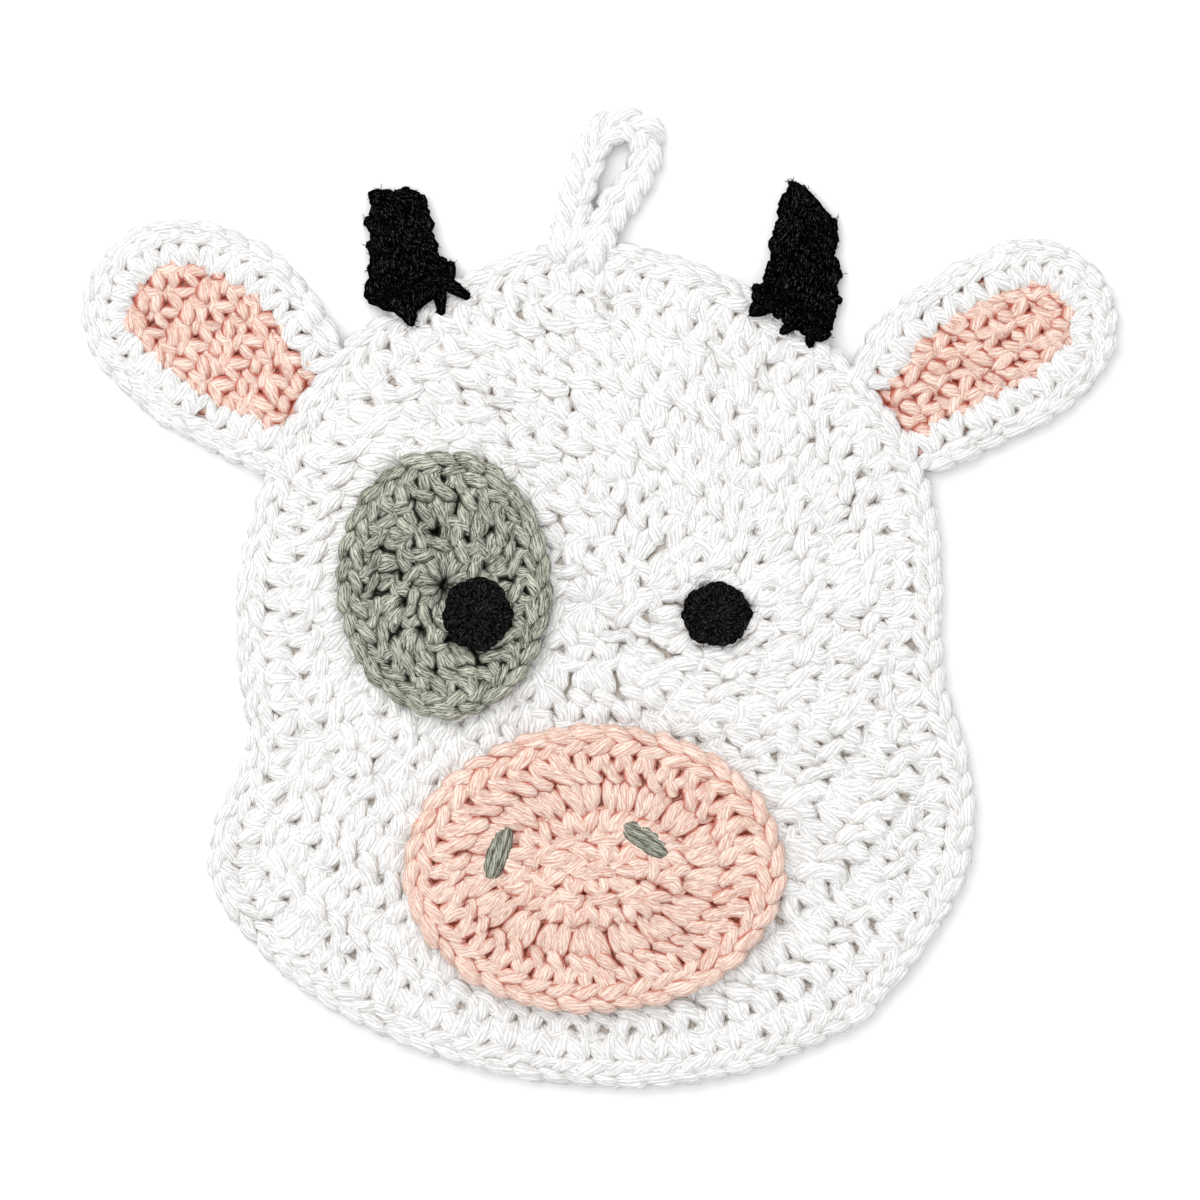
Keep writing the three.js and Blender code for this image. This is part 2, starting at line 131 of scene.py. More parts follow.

# %% [markdown]
# The yarn's finish
# Cotton yarn is a few soft plies laid round each other. Each tube below carries two vectors on its points.
# The one called yarn holds the cosine and sine of the angle round the tube and the length along it. The one
# called place holds how far the point stands out from the middle of the cloth, how light its stitch is and
# how far it faces up. From these the shader makes the plies and fine fibres that follow their twist. It also
# makes painted shade: a deeper colour for yarn low in the cloth and on a tube's steep sides, where lobes
# meet and shade falls, and darker grooves between the plies. Nothing depends on a picture, so each yarn is
# one function call with its own colours.

# %% Yarn material
PLIES = 4
TWIST = 0.2
ROUND_SCALE = 3.0
FLECK_RUN = 0.9
STREAK_SIZE = 1.5
STREAK_DETAIL = 3.0
FLECK_DETAIL = 2.0
FIBRE_BEND = 1.3
PLY_EDGE = 0.5
STRAND_EDGE = 0.9
PLY_PAINTED_SHADE = 0.12
TONE_LIGHT = 0.14
BASE_LIGHT = 0.2
FLECKS_SHOW = (0.25, 0.55)
SIDE_FULL_SHADE = 0.45
BUMP_DISTANCE = 0.0006
BUMP_STRENGTH = 0.8
PLY_RELIEF = 0.6
LINE_RELIEF = 0.6
STREAK_RELIEF = 0.4
YARN_ROUGHNESS = 0.9
SOFT = {"interpolation_type": "SMOOTHSTEP"}
MIX_DARK = 6
MIX_LIGHT = 7
MIX_COLOUR = 2


def mix_colours(start, factor, dark, light):
    """A colour between two others. The colour sockets of a Mix node are told apart by number only."""
    values = {"Factor": factor, MIX_DARK: dark, MIX_LIGHT: light}
    return start.node("Mix", {"data_type": "RGBA"}, values, MIX_COLOUR)


def yarn_finish(
    name, light, shade_colour, dark_fibre_and_groove_shade, lines=0.9, fuzz=0.8, level=0.95, grain=2.4, dark=0.25, lit_from=0.9,
    gloss=0.08, run=0.25, outline=0.75, side_shade_from=0.85, strands=11,
):
    """A material for one colour of yarn: light on the lobes, with painted shade in the crevices, on the
    steep sides and in the grooves between plies.
    """
    material = bpy.data.materials.new(name)
    material.use_nodes = True
    tree = material.node_tree
    shader = tree.nodes["Principled BSDF"]
    start = Shade(tree)
    yarn = start.node("Attribute", {"attribute_name": "yarn"}, {}, "Vector")
    place = start.node("Attribute", {"attribute_name": "place"}, {}, "Vector")
    across, up, length = (start.node("SeparateXYZ", {}, {0: yarn}, axis) for axis in range(3))
    stands, tone, faces_up = (start.node("SeparateXYZ", {}, {0: place}, axis) for axis in range(3))
    turned = start.maths("ARCTAN2", up, across) + length * TWIST
    round_x = start.maths("COSINE", turned) * ROUND_SCALE
    round_y = start.maths("SINE", turned) * ROUND_SCALE
    long_place = start.node("CombineXYZ", {}, {0: round_x, 1: round_y, 2: length * run})
    streak_look = {"Vector": long_place, "Scale": STREAK_SIZE, "Detail": STREAK_DETAIL}
    streak = start.node("TexNoise", {}, streak_look, 0)
    short_place = start.node("CombineXYZ", {}, {0: round_x, 1: round_y, 2: length * FLECK_RUN})
    fleck_look = {"Vector": short_place, "Scale": grain, "Detail": FLECK_DETAIL}
    fleck = start.node("TexNoise", {}, fleck_look, 0)
    bent = turned + (streak - 0.5) * FIBRE_BEND
    # Painted shade and fibres: the plies' crowns are lighter and the grooves between them darker, which is
    # painted shade. The strand lines and flecks are partly darker and lighter fibres and partly painted
    # shade between them.
    ply = start.maths("ABSOLUTE", start.maths("COSINE", turned * (PLIES / 2))) ** PLY_EDGE
    strand = start.maths("ABSOLUTE", start.maths("COSINE", bent * (strands / 2))) ** STRAND_EDGE
    from_fleck, to_fleck = FLECKS_SHOW
    broken = start.node("MapRange", {}, {"Value": fleck, "From Min": from_fleck, "From Max": to_fleck})
    line = 1.0 - (1.0 - strand) * broken
    fibres = (line - 1.0) * lines + (streak + fleck - 1.0) * fuzz
    shade = ply * PLY_PAINTED_SHADE + fibres + tone * TONE_LIGHT + (level - BASE_LIGHT)
    # Painted shade: yarn that lies low in the cloth (stands) or on a tube's steep sides (faces_up) is mixed
    # towards the shade colour. These are the places where lobes meet and shade falls. outline sets how dark
    # the sides get.
    crevice_shade = start.node("MapRange", SOFT, {"Value": stands, "From Min": dark, "From Max": lit_from})
    side = start.node(
        "MapRange",
        SOFT,
        {"Value": faces_up, "From Min": SIDE_FULL_SHADE, "From Max": side_shade_from, "To Min": 1.0 - outline},
    )
    lit = mix_colours(start, shade, (*dark_fibre_and_groove_shade, 1), (*light, 1))
    colour = mix_colours(start, crevice_shade * side, (*shade_colour, 1), lit)
    relief = ply * PLY_RELIEF + line * LINE_RELIEF + streak * STREAK_RELIEF
    normal = start.node("Bump", {}, {"Strength": BUMP_STRENGTH, "Distance": BUMP_DISTANCE, "Height": relief})
    tree.links.new(colour.socket, shader.inputs["Base Color"])
    tree.links.new(normal.socket, shader.inputs["Normal"])
    shader.inputs["Roughness"].default_value = YARN_ROUGHNESS
    shader.inputs["Specular IOR Level"].default_value = gloss
    return material


print("a yarn has", PLIES, "plies")

# %% [markdown]
# The yarns
# Four yarns make the trivet: white, pale pink, grey-green and a fine fuzzy black. One material with a map
# of colours could serve them all, but a finish for each keeps every colour a plain value that is easy to
# change. The pink is a little deeper in the ears and has more painted shade, since their crevices lie close
# together, and the eyes' black has more of the lighter flecks that stand partly for highlights on its
# fibres.
# The nostrils' straight stitches show less shade than the grey-green crochet, so they have a finish of their
# own.

# %% Finish of each yarn
# The second colour of each finish below is painted shade for crevices and steep sides. The third is partly
# darker fibres and partly painted shade between the plies.
WHITE = yarn_finish(
    "white_cotton",
    light=(0.98, 0.975, 0.965),
    shade_colour=(0.62, 0.53, 0.45),
    dark_fibre_and_groove_shade=(0.78, 0.77, 0.76),
    level=1.17,
    dark=-0.1,
    lit_from=0.3,
    outline=0.5,
    side_shade_from=0.62,
    strands=12,
)
PINK = yarn_finish(
    "pink_cotton",
    light=(1.0, 0.79, 0.685),
    shade_colour=(0.68, 0.18, 0.12),
    dark_fibre_and_groove_shade=(0.86, 0.38, 0.28),
    lines=1.0,
    level=1.14,
    dark=0.1,
    lit_from=0.6,
    outline=0.8,
    side_shade_from=0.75,
    strands=13,
)
# This copy of the pink has darker painted shade in its crevices and on its sides, and a slightly darker
# light colour, for the ears, whose crevices lie close together.
EAR_PINK_MORE_SHADE = yarn_finish(
    "ear_pink_cotton_more_shade",
    light=(1.0, 0.775, 0.67),
    shade_colour=(0.60, 0.12, 0.075),
    dark_fibre_and_groove_shade=(0.84, 0.40, 0.30),
    lines=1.0,
    level=1.14,
    dark=0.15,
    lit_from=0.65,
    outline=0.9,
    side_shade_from=0.9,
    strands=13,
)
SAGE = yarn_finish(
    "sage_cotton",
    light=(0.72, 0.73, 0.61),
    shade_colour=(0.01, 0.01, 0.006),
    dark_fibre_and_groove_shade=(0.05, 0.05, 0.035),
    lines=1.0,
    level=0.83,
    dark=0.2,
    lit_from=0.8,
    outline=0.95,
    side_shade_from=0.9,
    strands=15,
)
SAGE_STITCH = yarn_finish(
    "sage_stitch", light=(0.56, 0.57, 0.47), shade_colour=(0.06, 0.06, 0.045), dark_fibre_and_groove_shade=(0.10, 0.10, 0.07), lines=1.2
)
NO_LIGHT = (0.0, 0.0, 0.0)
BLACK_YARN = {
    "light": (0.085, 0.083, 0.085),
    "shade_colour": NO_LIGHT,
    "dark_fibre_and_groove_shade": NO_LIGHT,
    "lines": 0.4,
    "grain": 6.0,
    "dark": -0.2,
    "lit_from": 0.5,
    "gloss": 0.01,
    "run": 1.0,
}
# The black yarn's strong fuzz gives lighter flecks, partly lighter fibres and partly painted highlights on
# the fibres. The eyes have more of them.
BLACK = yarn_finish("black_yarn", **BLACK_YARN, fuzz=10.0, level=-1.05)
EYE_BLACK = yarn_finish("black_eye_yarn", **BLACK_YARN, fuzz=16.0, level=-1.0)
print("yarn finishes:", [m.name for m in (WHITE, PINK, EAR_PINK_MORE_SHADE, SAGE, SAGE_STITCH, BLACK, EYE_BLACK)])

# %% [markdown]
# From points to yarn
# A yarn's points are few, so a smooth curve through them is cut into even steps, and a ring of points is
# set round each step. The rings are carried along without turning about the yarn, which keeps the plies
# from jumping. A curve object with a round bevel would make a tube too, but it can't carry the numbers that
# the finish reads at each point. Every mesh is one array job in NumPy, because thousands of stitches one by
# one are slow.

# %% A smooth route
CURVE_PARTS = 6
PATTERN_STARTS = (0, 50)


def a_yarn(points, radii, tones, offset):
    """What one yarn is: its points, its radius and tone at each, and where its fibres' pattern starts."""
    return {"points": points, "radii": radii, "tones": tones, "offset": float(offset)}


def smooth_route(points, radii, tones, step):
    """A smooth curve through the points in even steps, with its radius, tone and length at each."""
    points = np.asarray(points, float)
    ends = np.vstack([2 * points[0] - points[1], points, 2 * points[-1] - points[-2]])
    t = np.linspace(0, 1, CURVE_PARTS, endpoint=False)
    # How much each of the four nearest points counts, so that the curve passes through every point.
    weights = np.stack(
        [
            -0.5 * t + t**2 - 0.5 * t**3,
            1 - 2.5 * t**2 + 1.5 * t**3,
            0.5 * t + 2 * t**2 - 1.5 * t**3,
            -0.5 * t**2 + 0.5 * t**3,
        ],
        1,
    )
    count = len(points) - 1
    corners = np.stack([ends[k : k + count] for k in range(4)], 1)
    fine = np.vstack([np.einsum("tk,nkd->ntd", weights, corners).reshape(-1, 3), points[-1:]])
    reached = np.arange(len(fine)) / CURVE_PARTS
    fine_radii = np.interp(reached, np.arange(len(points)), radii)
    fine_tones = np.interp(reached, np.arange(len(points)), tones)
    run = np.r_[0, np.cumsum(np.linalg.norm(np.diff(fine, axis=0), axis=1))]
    even = np.linspace(0, run[-1], max(int(run[-1] / step), 2) + 1)
    route = np.stack([np.interp(even, run, fine[:, axis]) for axis in range(3)], 1)
    return route, np.interp(even, run, fine_radii), np.interp(even, run, fine_tones), even


print("each stretch between two points is cut into", CURVE_PARTS)

# %% [markdown]
# The tube
# Yarn in a stitch is squeezed flat by its neighbours and isn't smooth, so a ring is a little lower than it
# is wide and its sides are uneven. A ring that would reach under the table, or under the face that a sewn
# piece lies on, is lifted onto it, because faces that are pressed into one plane turn black in a render.

# %% A tube round a route
RING_STEP = 1.32
RING_SIDES = 8
YARN_SECTION = np.array([1.4, 1.4, 0.92])
LUMPS = 0.06
TIP_REACH = 0.5
STEEP = 0.9
TINY = 1e-12


def side_directions(route):
    """The direction ahead and two across the yarn at each step, carried along without turning."""
    ahead = np.gradient(route, axis=0)
    ahead /= np.linalg.norm(ahead, axis=1, keepdims=True) + TINY
    first = np.zeros_like(ahead)
    last = np.array([0.0, 0.0, 1.0]) if abs(ahead[0][2]) < STEEP else np.array([1.0, 0.0, 0.0])
    for i, along in enumerate(ahead):
        last = last - along * (last @ along)
        last = last / (np.linalg.norm(last) + TINY)
        first[i] = last
    return ahead, first, np.cross(ahead, first)


def tube(yarn, step, sides, low):
    """One yarn's points, faces and the numbers that its shader reads, lifted clear of a lowest height."""
    route, radii, tones, run = smooth_route(yarn["points"], yarn["radii"], yarn["tones"], step)
    route[:, 2] = np.maximum(route[:, 2], low + radii)
    ahead, first, second = side_directions(route)
    angles = 2 * np.pi * np.arange(sides) / sides
    cosine, sine = np.cos(angles)[None, :, None], np.sin(angles)[None, :, None]
    round_it = cosine * first[:, None] + sine * second[:, None]
    rings = len(route)
    uneven = 1 + np.random.default_rng(rings).normal(0, LUMPS, (rings, sides))
    reach = radii[:, None] * uneven
    points = (route[:, None] + reach[..., None] * round_it * YARN_SECTION).reshape(-1, 3)
    here = np.arange(rings - 1)[:, None] * sides
    this = np.arange(sides)[None]
    after = (this + 1) % sides
    quads = np.stack([here + this, here + after, here + sides + after, here + sides + this], -1)
    start_tip = route[0] - ahead[0] * radii[0] * TIP_REACH
    end_tip = route[-1] + ahead[-1] * radii[-1] * TIP_REACH
    points = np.vstack([points, start_tip, end_tip])
    first_tip, last_tip = rings * sides, rings * sides + 1
    last_ring = (rings - 1) * sides
    caps = np.vstack(
        [
            np.stack([np.full(sides, first_tip), after[0], this[0]], 1),
            np.stack([np.full(sides, last_tip), last_ring + this[0], last_ring + after[0]], 1),
        ]
    )
    marks = np.zeros((len(points), 3))
    marks[:first_tip, 0] = np.tile(np.cos(angles), rings)
    marks[:first_tip, 1] = np.tile(np.sin(angles), rings)
    marks[:first_tip, 2] = np.repeat(run, sides) + yarn["offset"]
    tone = np.r_[np.repeat(tones, sides), tones[0], tones[-1]]
    faces_up = np.r_[np.abs(round_it[..., 2]).ravel(), 1.0, 1.0]
    return points, quads.reshape(-1, 4), caps, marks, tone, faces_up


print("a yarn's rings are", RING_STEP, "mm apart")

# %% One object from many yarns
RIM_RUN = 2.5
RIM_STANDS = 0.7


def mesh_piece(name, points, corners, sizes, finish):
    """An object from points in millimetres and faces given as one run of corners."""
    mesh = bpy.data.meshes.new(name)
    mesh.vertices.add(len(points))
    mesh.vertices.foreach_set("co", (points * MM).ravel())
    mesh.loops.add(len(corners))
    mesh.loops.foreach_set("vertex_index", corners.astype(np.int32))
    mesh.polygons.add(len(sizes))
    mesh.polygons.foreach_set("loop_start", np.r_[0, np.cumsum(sizes)[:-1]].astype(np.int32))
    mesh.polygons.foreach_set("use_smooth", np.ones(len(sizes), bool))
    mesh.update(calc_edges=True)
    mesh.materials.append(finish)
    piece = bpy.data.objects.new(name, mesh)
    bpy.context.scene.collection.objects.link(piece)
    return piece


def yarn_piece(name, yarns, finish, middle, half, step=RING_STEP, sides=RING_SIDES, low=0.0, rim=None):
    """One object from many yarns. middle and half are the cloth's mid height and half thickness, low is the
    height of its underside, and rim is its outline with a middle point, near which the painted shade is
    lifted."""
    points, corners, sizes, marks, tones, facing = [], [], [], [], [], []
    total = 0
    for yarn in yarns:
        p, quads, caps, mark, tone, faces_up = tube(yarn, step, sides, low)
        points.append(p)
        corners += [(quads + total).ravel(), (caps + total).ravel()]
        sizes += [np.full(len(quads), 4), np.full(len(caps), 3)]
        marks.append(mark)
        tones.append(tone)
        facing.append(faces_up)
        total += len(p)
    points = np.vstack(points)
    points[:, 2] = np.maximum(points[:, 2], low)
    # stands and faces_up steer the painted shade in the finish. Near the rim both are raised, which lifts
    # that painted shade.
    stands = np.clip(np.abs(points[:, 2] - middle) / half, 0, 1)
    faces_up = np.concatenate(facing)
    if rim is not None:
        near = np.clip(1 + beyond(points[:, :2], *rim) / RIM_RUN, 0, 1)
        stands = np.maximum(stands, RIM_STANDS * near)
        faces_up = np.maximum(faces_up, near)
    place = np.stack([stands, np.concatenate(tones), faces_up], 1)
    piece = mesh_piece(name, points, np.concatenate(corners), np.concatenate(sizes), finish)
    for label, values in (("yarn", np.vstack(marks)), ("place", place)):
        store = piece.data.attributes.new(label, "FLOAT_VECTOR", "POINT")
        store.data.foreach_set("vector", values.ravel())
    triangles = int((np.concatenate(sizes) - 2).sum())
    print(f"{name}: {len(yarns)} yarns, {triangles} triangles")
    return piece


print("yarn stays light within", RIM_RUN, "mm of an outline")

# %% [markdown]
# Stray fibres
# The black yarn is fuzzy: short fine ends stand out of it all over. Hair strands could show them, but a
# very thin short tube goes through the same functions as the yarn and is part of its mesh, so it comes
# along when the piece is used again.

# %% Fine ends on some yarns
FIBRE_RADIUS = 0.08
FIBRE_REACH = (1.3, 2.4)
FIBRE_CURL = 0.3
FIBRE_SPREAD = (1.0, 1.0, 0.6)
FIBRE_PARTS = (0.3, 0.7, 1.0)
FIBRE_BENDS = (0.0, 1.0, 0.3)
FIBRE_TAPER = np.array([1.0, 0.9, 0.5])


def stray_fibres(yarns, count, seed):
    """Short fine fibres that stand out of some yarns at seeded places."""
    rng = np.random.default_rng(seed)
    fibres = []
    for _ in range(count):
        points = yarns[rng.integers(len(yarns))]["points"]
        start = points[rng.integers(len(points))]
        reach = rng.normal(0, 1, 3) * FIBRE_SPREAD
        reach = reach / np.linalg.norm(reach) * rng.uniform(*FIBRE_REACH)
        bend = rng.normal(0, FIBRE_CURL, 3)
        route = start + np.outer(FIBRE_PARTS, reach) + np.outer(FIBRE_BENDS, bend)
        tones = np.full(len(route), rng.uniform())
        fibres.append(a_yarn(route, FIBRE_RADIUS * FIBRE_TAPER, tones, rng.uniform(*PATTERN_STARTS)))
    return fibres


print("stray fibres are", 2 * FIBRE_RADIUS, "mm thick")

# %% [markdown]
# The stitches
# A tall stitch, which a crocheter calls a double crochet, starts at the top of the stitch before, wraps
# once round the hook, goes down through the round below, comes back up as two legs, and closes with two
# more loops and a chain on top. A low stitch, the single crochet, has only the two legs and the chain.
# Each row here is one place the yarn passes: across the stitch and up it, both from about 0 to 1, then in
# front of the cloth's middle and the yarn's radius, both in millimetres. A simulation could find this path
# from the pull of the yarn, but listed points are quick and can be moved one at a time.

# %% Stitch tables
TALL_STITCH = (
    (0.05, 0.85, -0.9, 1.00),
    (-0.08, 0.60, 0.1, 0.95),
    (0.02, 0.50, 1.2, 1.30),
    (0.34, 0.57, 1.9, 1.75),
    (0.66, 0.70, 1.4, 1.45),
    (0.86, 0.84, 0.0, 0.95),
    (0.75, 0.45, -1.1, 1.10),
    (0.58, 0.05, -1.0, 1.00),
    (0.50, -0.10, 0.0, 0.80),
    (0.42, 0.03, 1.0, 1.20),
    (0.28, 0.17, 1.5, 1.65),
    (0.20, 0.33, 1.5, 1.70),
    (0.24, 0.47, 0.6, 1.15),
    (0.44, 0.54, -0.1, 0.95),
    (0.70, 0.51, 0.7, 1.15),
    (0.80, 0.36, 1.5, 1.70),
    (0.73, 0.17, 1.5, 1.65),
    (0.59, 0.02, 1.0, 1.20),
    (0.51, -0.11, -0.1, 0.80),
    (0.42, 0.15, -1.15, 1.15),
    (0.40, 0.50, -1.15, 1.15),
    (0.46, 0.60, -0.1, 0.90),
    (0.32, 0.68, 1.1, 1.40),
    (0.15, 0.82, 1.6, 1.75),
    (0.14, 0.99, 0.8, 1.25),
    (0.32, 1.06, 0.0, 0.90),
    (0.76, 1.02, 0.8, 1.20),
    (0.92, 0.90, 1.4, 1.60),
    (0.84, 0.74, 1.4, 1.55),
    (0.66, 0.60, 0.2, 0.95),
    (0.55, 0.78, -1.2, 1.15),
    (0.46, 0.94, -0.9, 1.00),
    (0.46, 1.00, 0.1, 0.95),
    (0.78, 1.06, 1.0, 1.45),
    (1.16, 1.05, 1.0, 1.40),
    (1.44, 1.00, 0.0, 0.95),
    (1.20, 1.06, -0.9, 1.20),
    (0.80, 1.04, -1.0, 1.10),
)
FIRST_STITCH = (
    *TALL_STITCH[:9],
    (0.50, 0.06, 1.2, 1.40),
    (0.42, 0.22, 1.7, 1.80),
    (0.32, 0.38, 1.5, 1.75),
    (0.28, 0.50, 0.6, 1.15),
    (0.46, 0.56, -0.1, 0.95),
    (0.72, 0.54, 0.7, 1.15),
    (0.82, 0.40, 1.3, 1.65),
    (0.80, 0.22, 0.7, 1.20),
    (0.66, 0.10, -0.4, 0.90),
    *TALL_STITCH[19:],
)
LOW_STITCH = (
    (0.30, 0.80, -1.1, 1.15),
    (0.42, 0.20, -1.1, 1.10),
    (0.48, -0.12, 0.0, 0.90),
    (0.34, 0.15, 1.2, 1.35),
    (0.20, 0.55, 1.4, 1.50),
    (0.34, 0.95, 0.6, 1.20),
    (0.55, 1.02, -0.2, 1.00),
    (0.72, 0.85, 0.9, 1.30),
    (0.80, 0.50, 1.4, 1.50),
    (0.66, 0.10, 1.1, 1.25),
    (0.54, -0.12, -0.1, 0.90),
    (0.56, 0.25, -1.2, 1.15),
    (0.58, 0.70, -1.1, 1.10),
    (0.50, 1.00, 0.0, 1.00),
    (0.80, 1.12, 0.9, 1.35),
    (1.20, 1.10, 0.9, 1.25),
    (1.46, 1.05, 0.0, 1.00),
    (1.20, 1.12, -0.9, 1.20),
    (0.80, 1.10, -1.0, 1.15),
)
OPEN_STITCH = (
    (0.40, 0.80, -1.1, 1.10),
    (0.50, 0.10, -1.1, 1.05),
    (0.50, -0.12, 0.0, 0.80),
    (0.40, 0.08, 1.1, 1.30),
    (0.22, 0.45, 1.6, 1.75),
    (0.04, 0.85, 1.0, 1.35),
    (0.06, 1.05, -0.4, 0.85),
    (0.80, 1.05, -0.6, 0.85),
    (0.98, 0.92, 0.8, 1.25),
    (0.82, 0.52, 1.6, 1.75),
    (0.62, 0.12, 1.1, 1.30),
    (0.52, -0.12, -0.1, 0.80),
    (0.60, 0.60, -1.2, 1.10),
    (0.50, 0.95, 0.0, 0.85),
    (0.72, 0.98, 1.3, 1.45),
    (1.14, 1.08, 1.2, 1.40),
    (1.44, 1.05, 0.0, 0.85),
    (1.20, 1.12, -0.9, 1.15),
    (0.80, 1.10, -1.0, 1.10),
)
BACK_STITCH = (
    (0.30, 0.90, -1.1, 1.10),
    (0.40, 0.20, -1.1, 1.05),
    (0.50, -0.10, 0.1, 0.80),
    (0.28, 0.10, 1.3, 1.50),
    (-0.04, 0.30, 1.5, 1.60),
    (-0.22, 0.48, 0.2, 0.90),
    (0.20, 0.60, -0.6, 0.90),
    (0.66, 0.40, 0.9, 1.30),
    (0.40, 0.66, 1.7, 1.75),
    (0.10, 0.92, 0.9, 1.30),
    (0.30, 1.00, -0.9, 0.90),
    (0.84, 0.92, 0.9, 1.30),
    (0.96, 0.55, 1.6, 1.65),
    (0.82, 0.20, 0.9, 1.25),
    (0.60, 0.10, -0.9, 0.90),
    (0.60, 0.90, -1.1, 1.10),
    (0.90, 1.05, 0.3, 1.10),
    (1.30, 1.05, -0.6, 1.00),
    (0.90, 1.08, -1.1, 1.10),
)
STITCH_WIDTH = 7.0
TALL_HEIGHT = 14.5
LOW_HEIGHT = 7.0
print("yarn in a tall stitch:", len(TALL_STITCH), "points")

# %% [markdown]
# Rows
# A row is a strip between two seams, and a stitch is bent into it by asking the strip where a place along
# and up it lies. An array along a curve would repeat a stitch as well, but every copy would be the same. In
# a round with more stitches than the one below, some pairs share a hole, so their feet draw together in a
# fan. And hands don't pull every stitch alike, so each gets a seeded lean, size and height. Every row and
# braid has its own seed, so that a change to one leaves the others as they are.

# %% Strips between seams
SEAM_STEPS = 240
CIRCLE_WAVES = (3, 8)
FINE_WAVE = 0.6


def on_curve(curve, s, closed):
    """Points at s, from 0 to 1, on a curve of evenly placed points."""
    reach = (s % 1.0 if closed else s) * (len(curve) - 1)
    low = np.clip(np.floor(reach).astype(int), 0, len(curve) - 2)
    part = (reach - low)[..., None]
    return curve[low] * (1 - part) + curve[low + 1] * part


def strip(inner, outer, closed=True):
    """A function that gives the place at s along and v across a strip between two curves."""

    def place(s, v):
        a = on_curve(inner, s, closed)
        b = on_curve(outer, s, closed)
        return a + (b - a) * v[..., None]

    return place


def circle(middle, radius, uneven=0.0):
    """A closed circle, counter-clockwise, a little uneven, its first point repeated at the end."""
    turn = np.linspace(0, 2 * np.pi, SEAM_STEPS + 1)
    coarse, fine = CIRCLE_WAVES
    waves = np.sin(coarse * turn + radius) + FINE_WAVE * np.sin(fine * turn + 2 * radius)
    radius = radius + uneven * waves
    return np.array(middle) + np.stack([radius * np.cos(turn), radius * np.sin(turn)], 1)


half_way = strip(circle((0, 0), 10.0), circle((0, 0), 20.0))(np.array([0.0]), np.array([0.5]))
print("half way up a strip from 10 to 20 mm:", half_way.round(2).tolist())

# %% Lay a row of stitches in a strip
SHAKE = np.array([0.04, 0.018, 0.22])
LEAN = 0.15
PLUMP = 0.09
LEAST_SIZE = 0.7
MOST_SIZE = 1.12
SIZE_POWER = 0.4
FAN_SPREAD = 0.2
FAN_NARROW = 0.35


def work_row(
    place, count, stitch, height, seed, middle, parents=None, plump=1.0, depth=1.0, lift=None, closed=True
):
    """The route of one yarn through a row of stitches."""
    rng = np.random.default_rng(seed)
    u, v, w, r = np.array(stitch).T
    number = np.arange(count)[:, None]
    shake = rng.normal(0, 1, (count, len(stitch), 3)) * SHAKE
    lean = rng.normal(0, LEAN, (count, 1))
    size_each = 1 + rng.normal(0, PLUMP, (count, 1))
    tone = rng.uniform(0, 1, (count, 1)) * np.ones_like(u)
    u = u + shake[..., 0]
    v = v + shake[..., 1]
    parents = parents or count
    below = np.floor(number * parents / count)
    mates = np.floor((number + np.array([[-1, 1]])) * parents / count) == below
    spread = FAN_SPREAD * (mates[:, :1].astype(float) - mates[:, 1:].astype(float))
    foot = (below + 0.5 + spread) * count / parents
    climb = np.clip(v, 0, 1)
    centre = foot + (number + 0.5 - foot) * climb
    narrow = 1 - FAN_NARROW * (np.abs(spread) > 0) * (1 - climb)
    s = (centre + (u - 0.5) * narrow + lean * (climb - 0.5)) / count
    s = s if closed else np.clip(s, 0.0, 1.0)
    xy = place(s, v)
    quarter = 0.25 / count
    pitch = np.linalg.norm(place(s + quarter, v) - place(s - quarter, v), axis=-1) * 2
    tall = np.linalg.norm(place(s, np.ones_like(v)) - place(s, np.zeros_like(v)), axis=-1)
    size = np.clip(np.minimum(pitch / STITCH_WIDTH, tall / height) ** SIZE_POWER, LEAST_SIZE, MOST_SIZE)
    z = middle + (w + shake[..., 2]) * depth * size
    if lift is not None:
        z = z + lift(xy)
    points = np.concatenate([xy, z[..., None]], -1).reshape(-1, 3)
    radii = (r * size * size_each * plump).ravel()
    return a_yarn(points, radii, tone.ravel(), rng.uniform(*PATTERN_STARTS))


print("a stitch shrinks to", LEAST_SIZE, "of its size at most")

# %% [markdown]
# Outlines from the frame
# The head's uneven outline, and those of the ears and horns, are already in the frame's solids. They could
# be written here again, but then the yarn and the solids might drift apart. So they are read from there:
# for each direction from a middle point, how far the solid reaches.

# %% Read an outline from a node
EDGE_STEPS = 360
HEAD_STEPS = 720
LEVEL_EDGE = 1e-9


def outline(names, middle):
    """The farthest reach of some nodes from a middle point, as a closed curve in millimetres."""
    starts, ends = [], []
    for name in names:
        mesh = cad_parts[name].data
        flat = np.array([vertex.co[:2] for vertex in mesh.vertices]) / MM - middle
        edges = np.array([edge.vertices[:] for edge in mesh.edges])
        starts.append(flat[edges[:, 0]])
        ends.append(flat[edges[:, 1]])
    p, q = np.vstack(starts), np.vstack(ends)
    turn = np.linspace(0, 2 * np.pi, EDGE_STEPS + 1)
    reach = np.zeros(len(turn))
    for i, angle in enumerate(turn):
        direction = np.array([math.cos(angle), math.sin(angle)])
        side_p = p[:, 1] * direction[0] - p[:, 0] * direction[1]
        side_q = q[:, 1] * direction[0] - q[:, 0] * direction[1]
        crosses = (side_p * side_q <= 0) & (np.abs(side_p - side_q) > LEVEL_EDGE)
        part = side_p[crosses] / (side_p[crosses] - side_q[crosses])
        met = p[crosses] + (q[crosses] - p[crosses]) * part[:, None]
        reach[i] = (met @ direction).max()
    return np.array(middle) + reach[:, None] * np.stack([np.cos(turn), np.sin(turn)], 1)


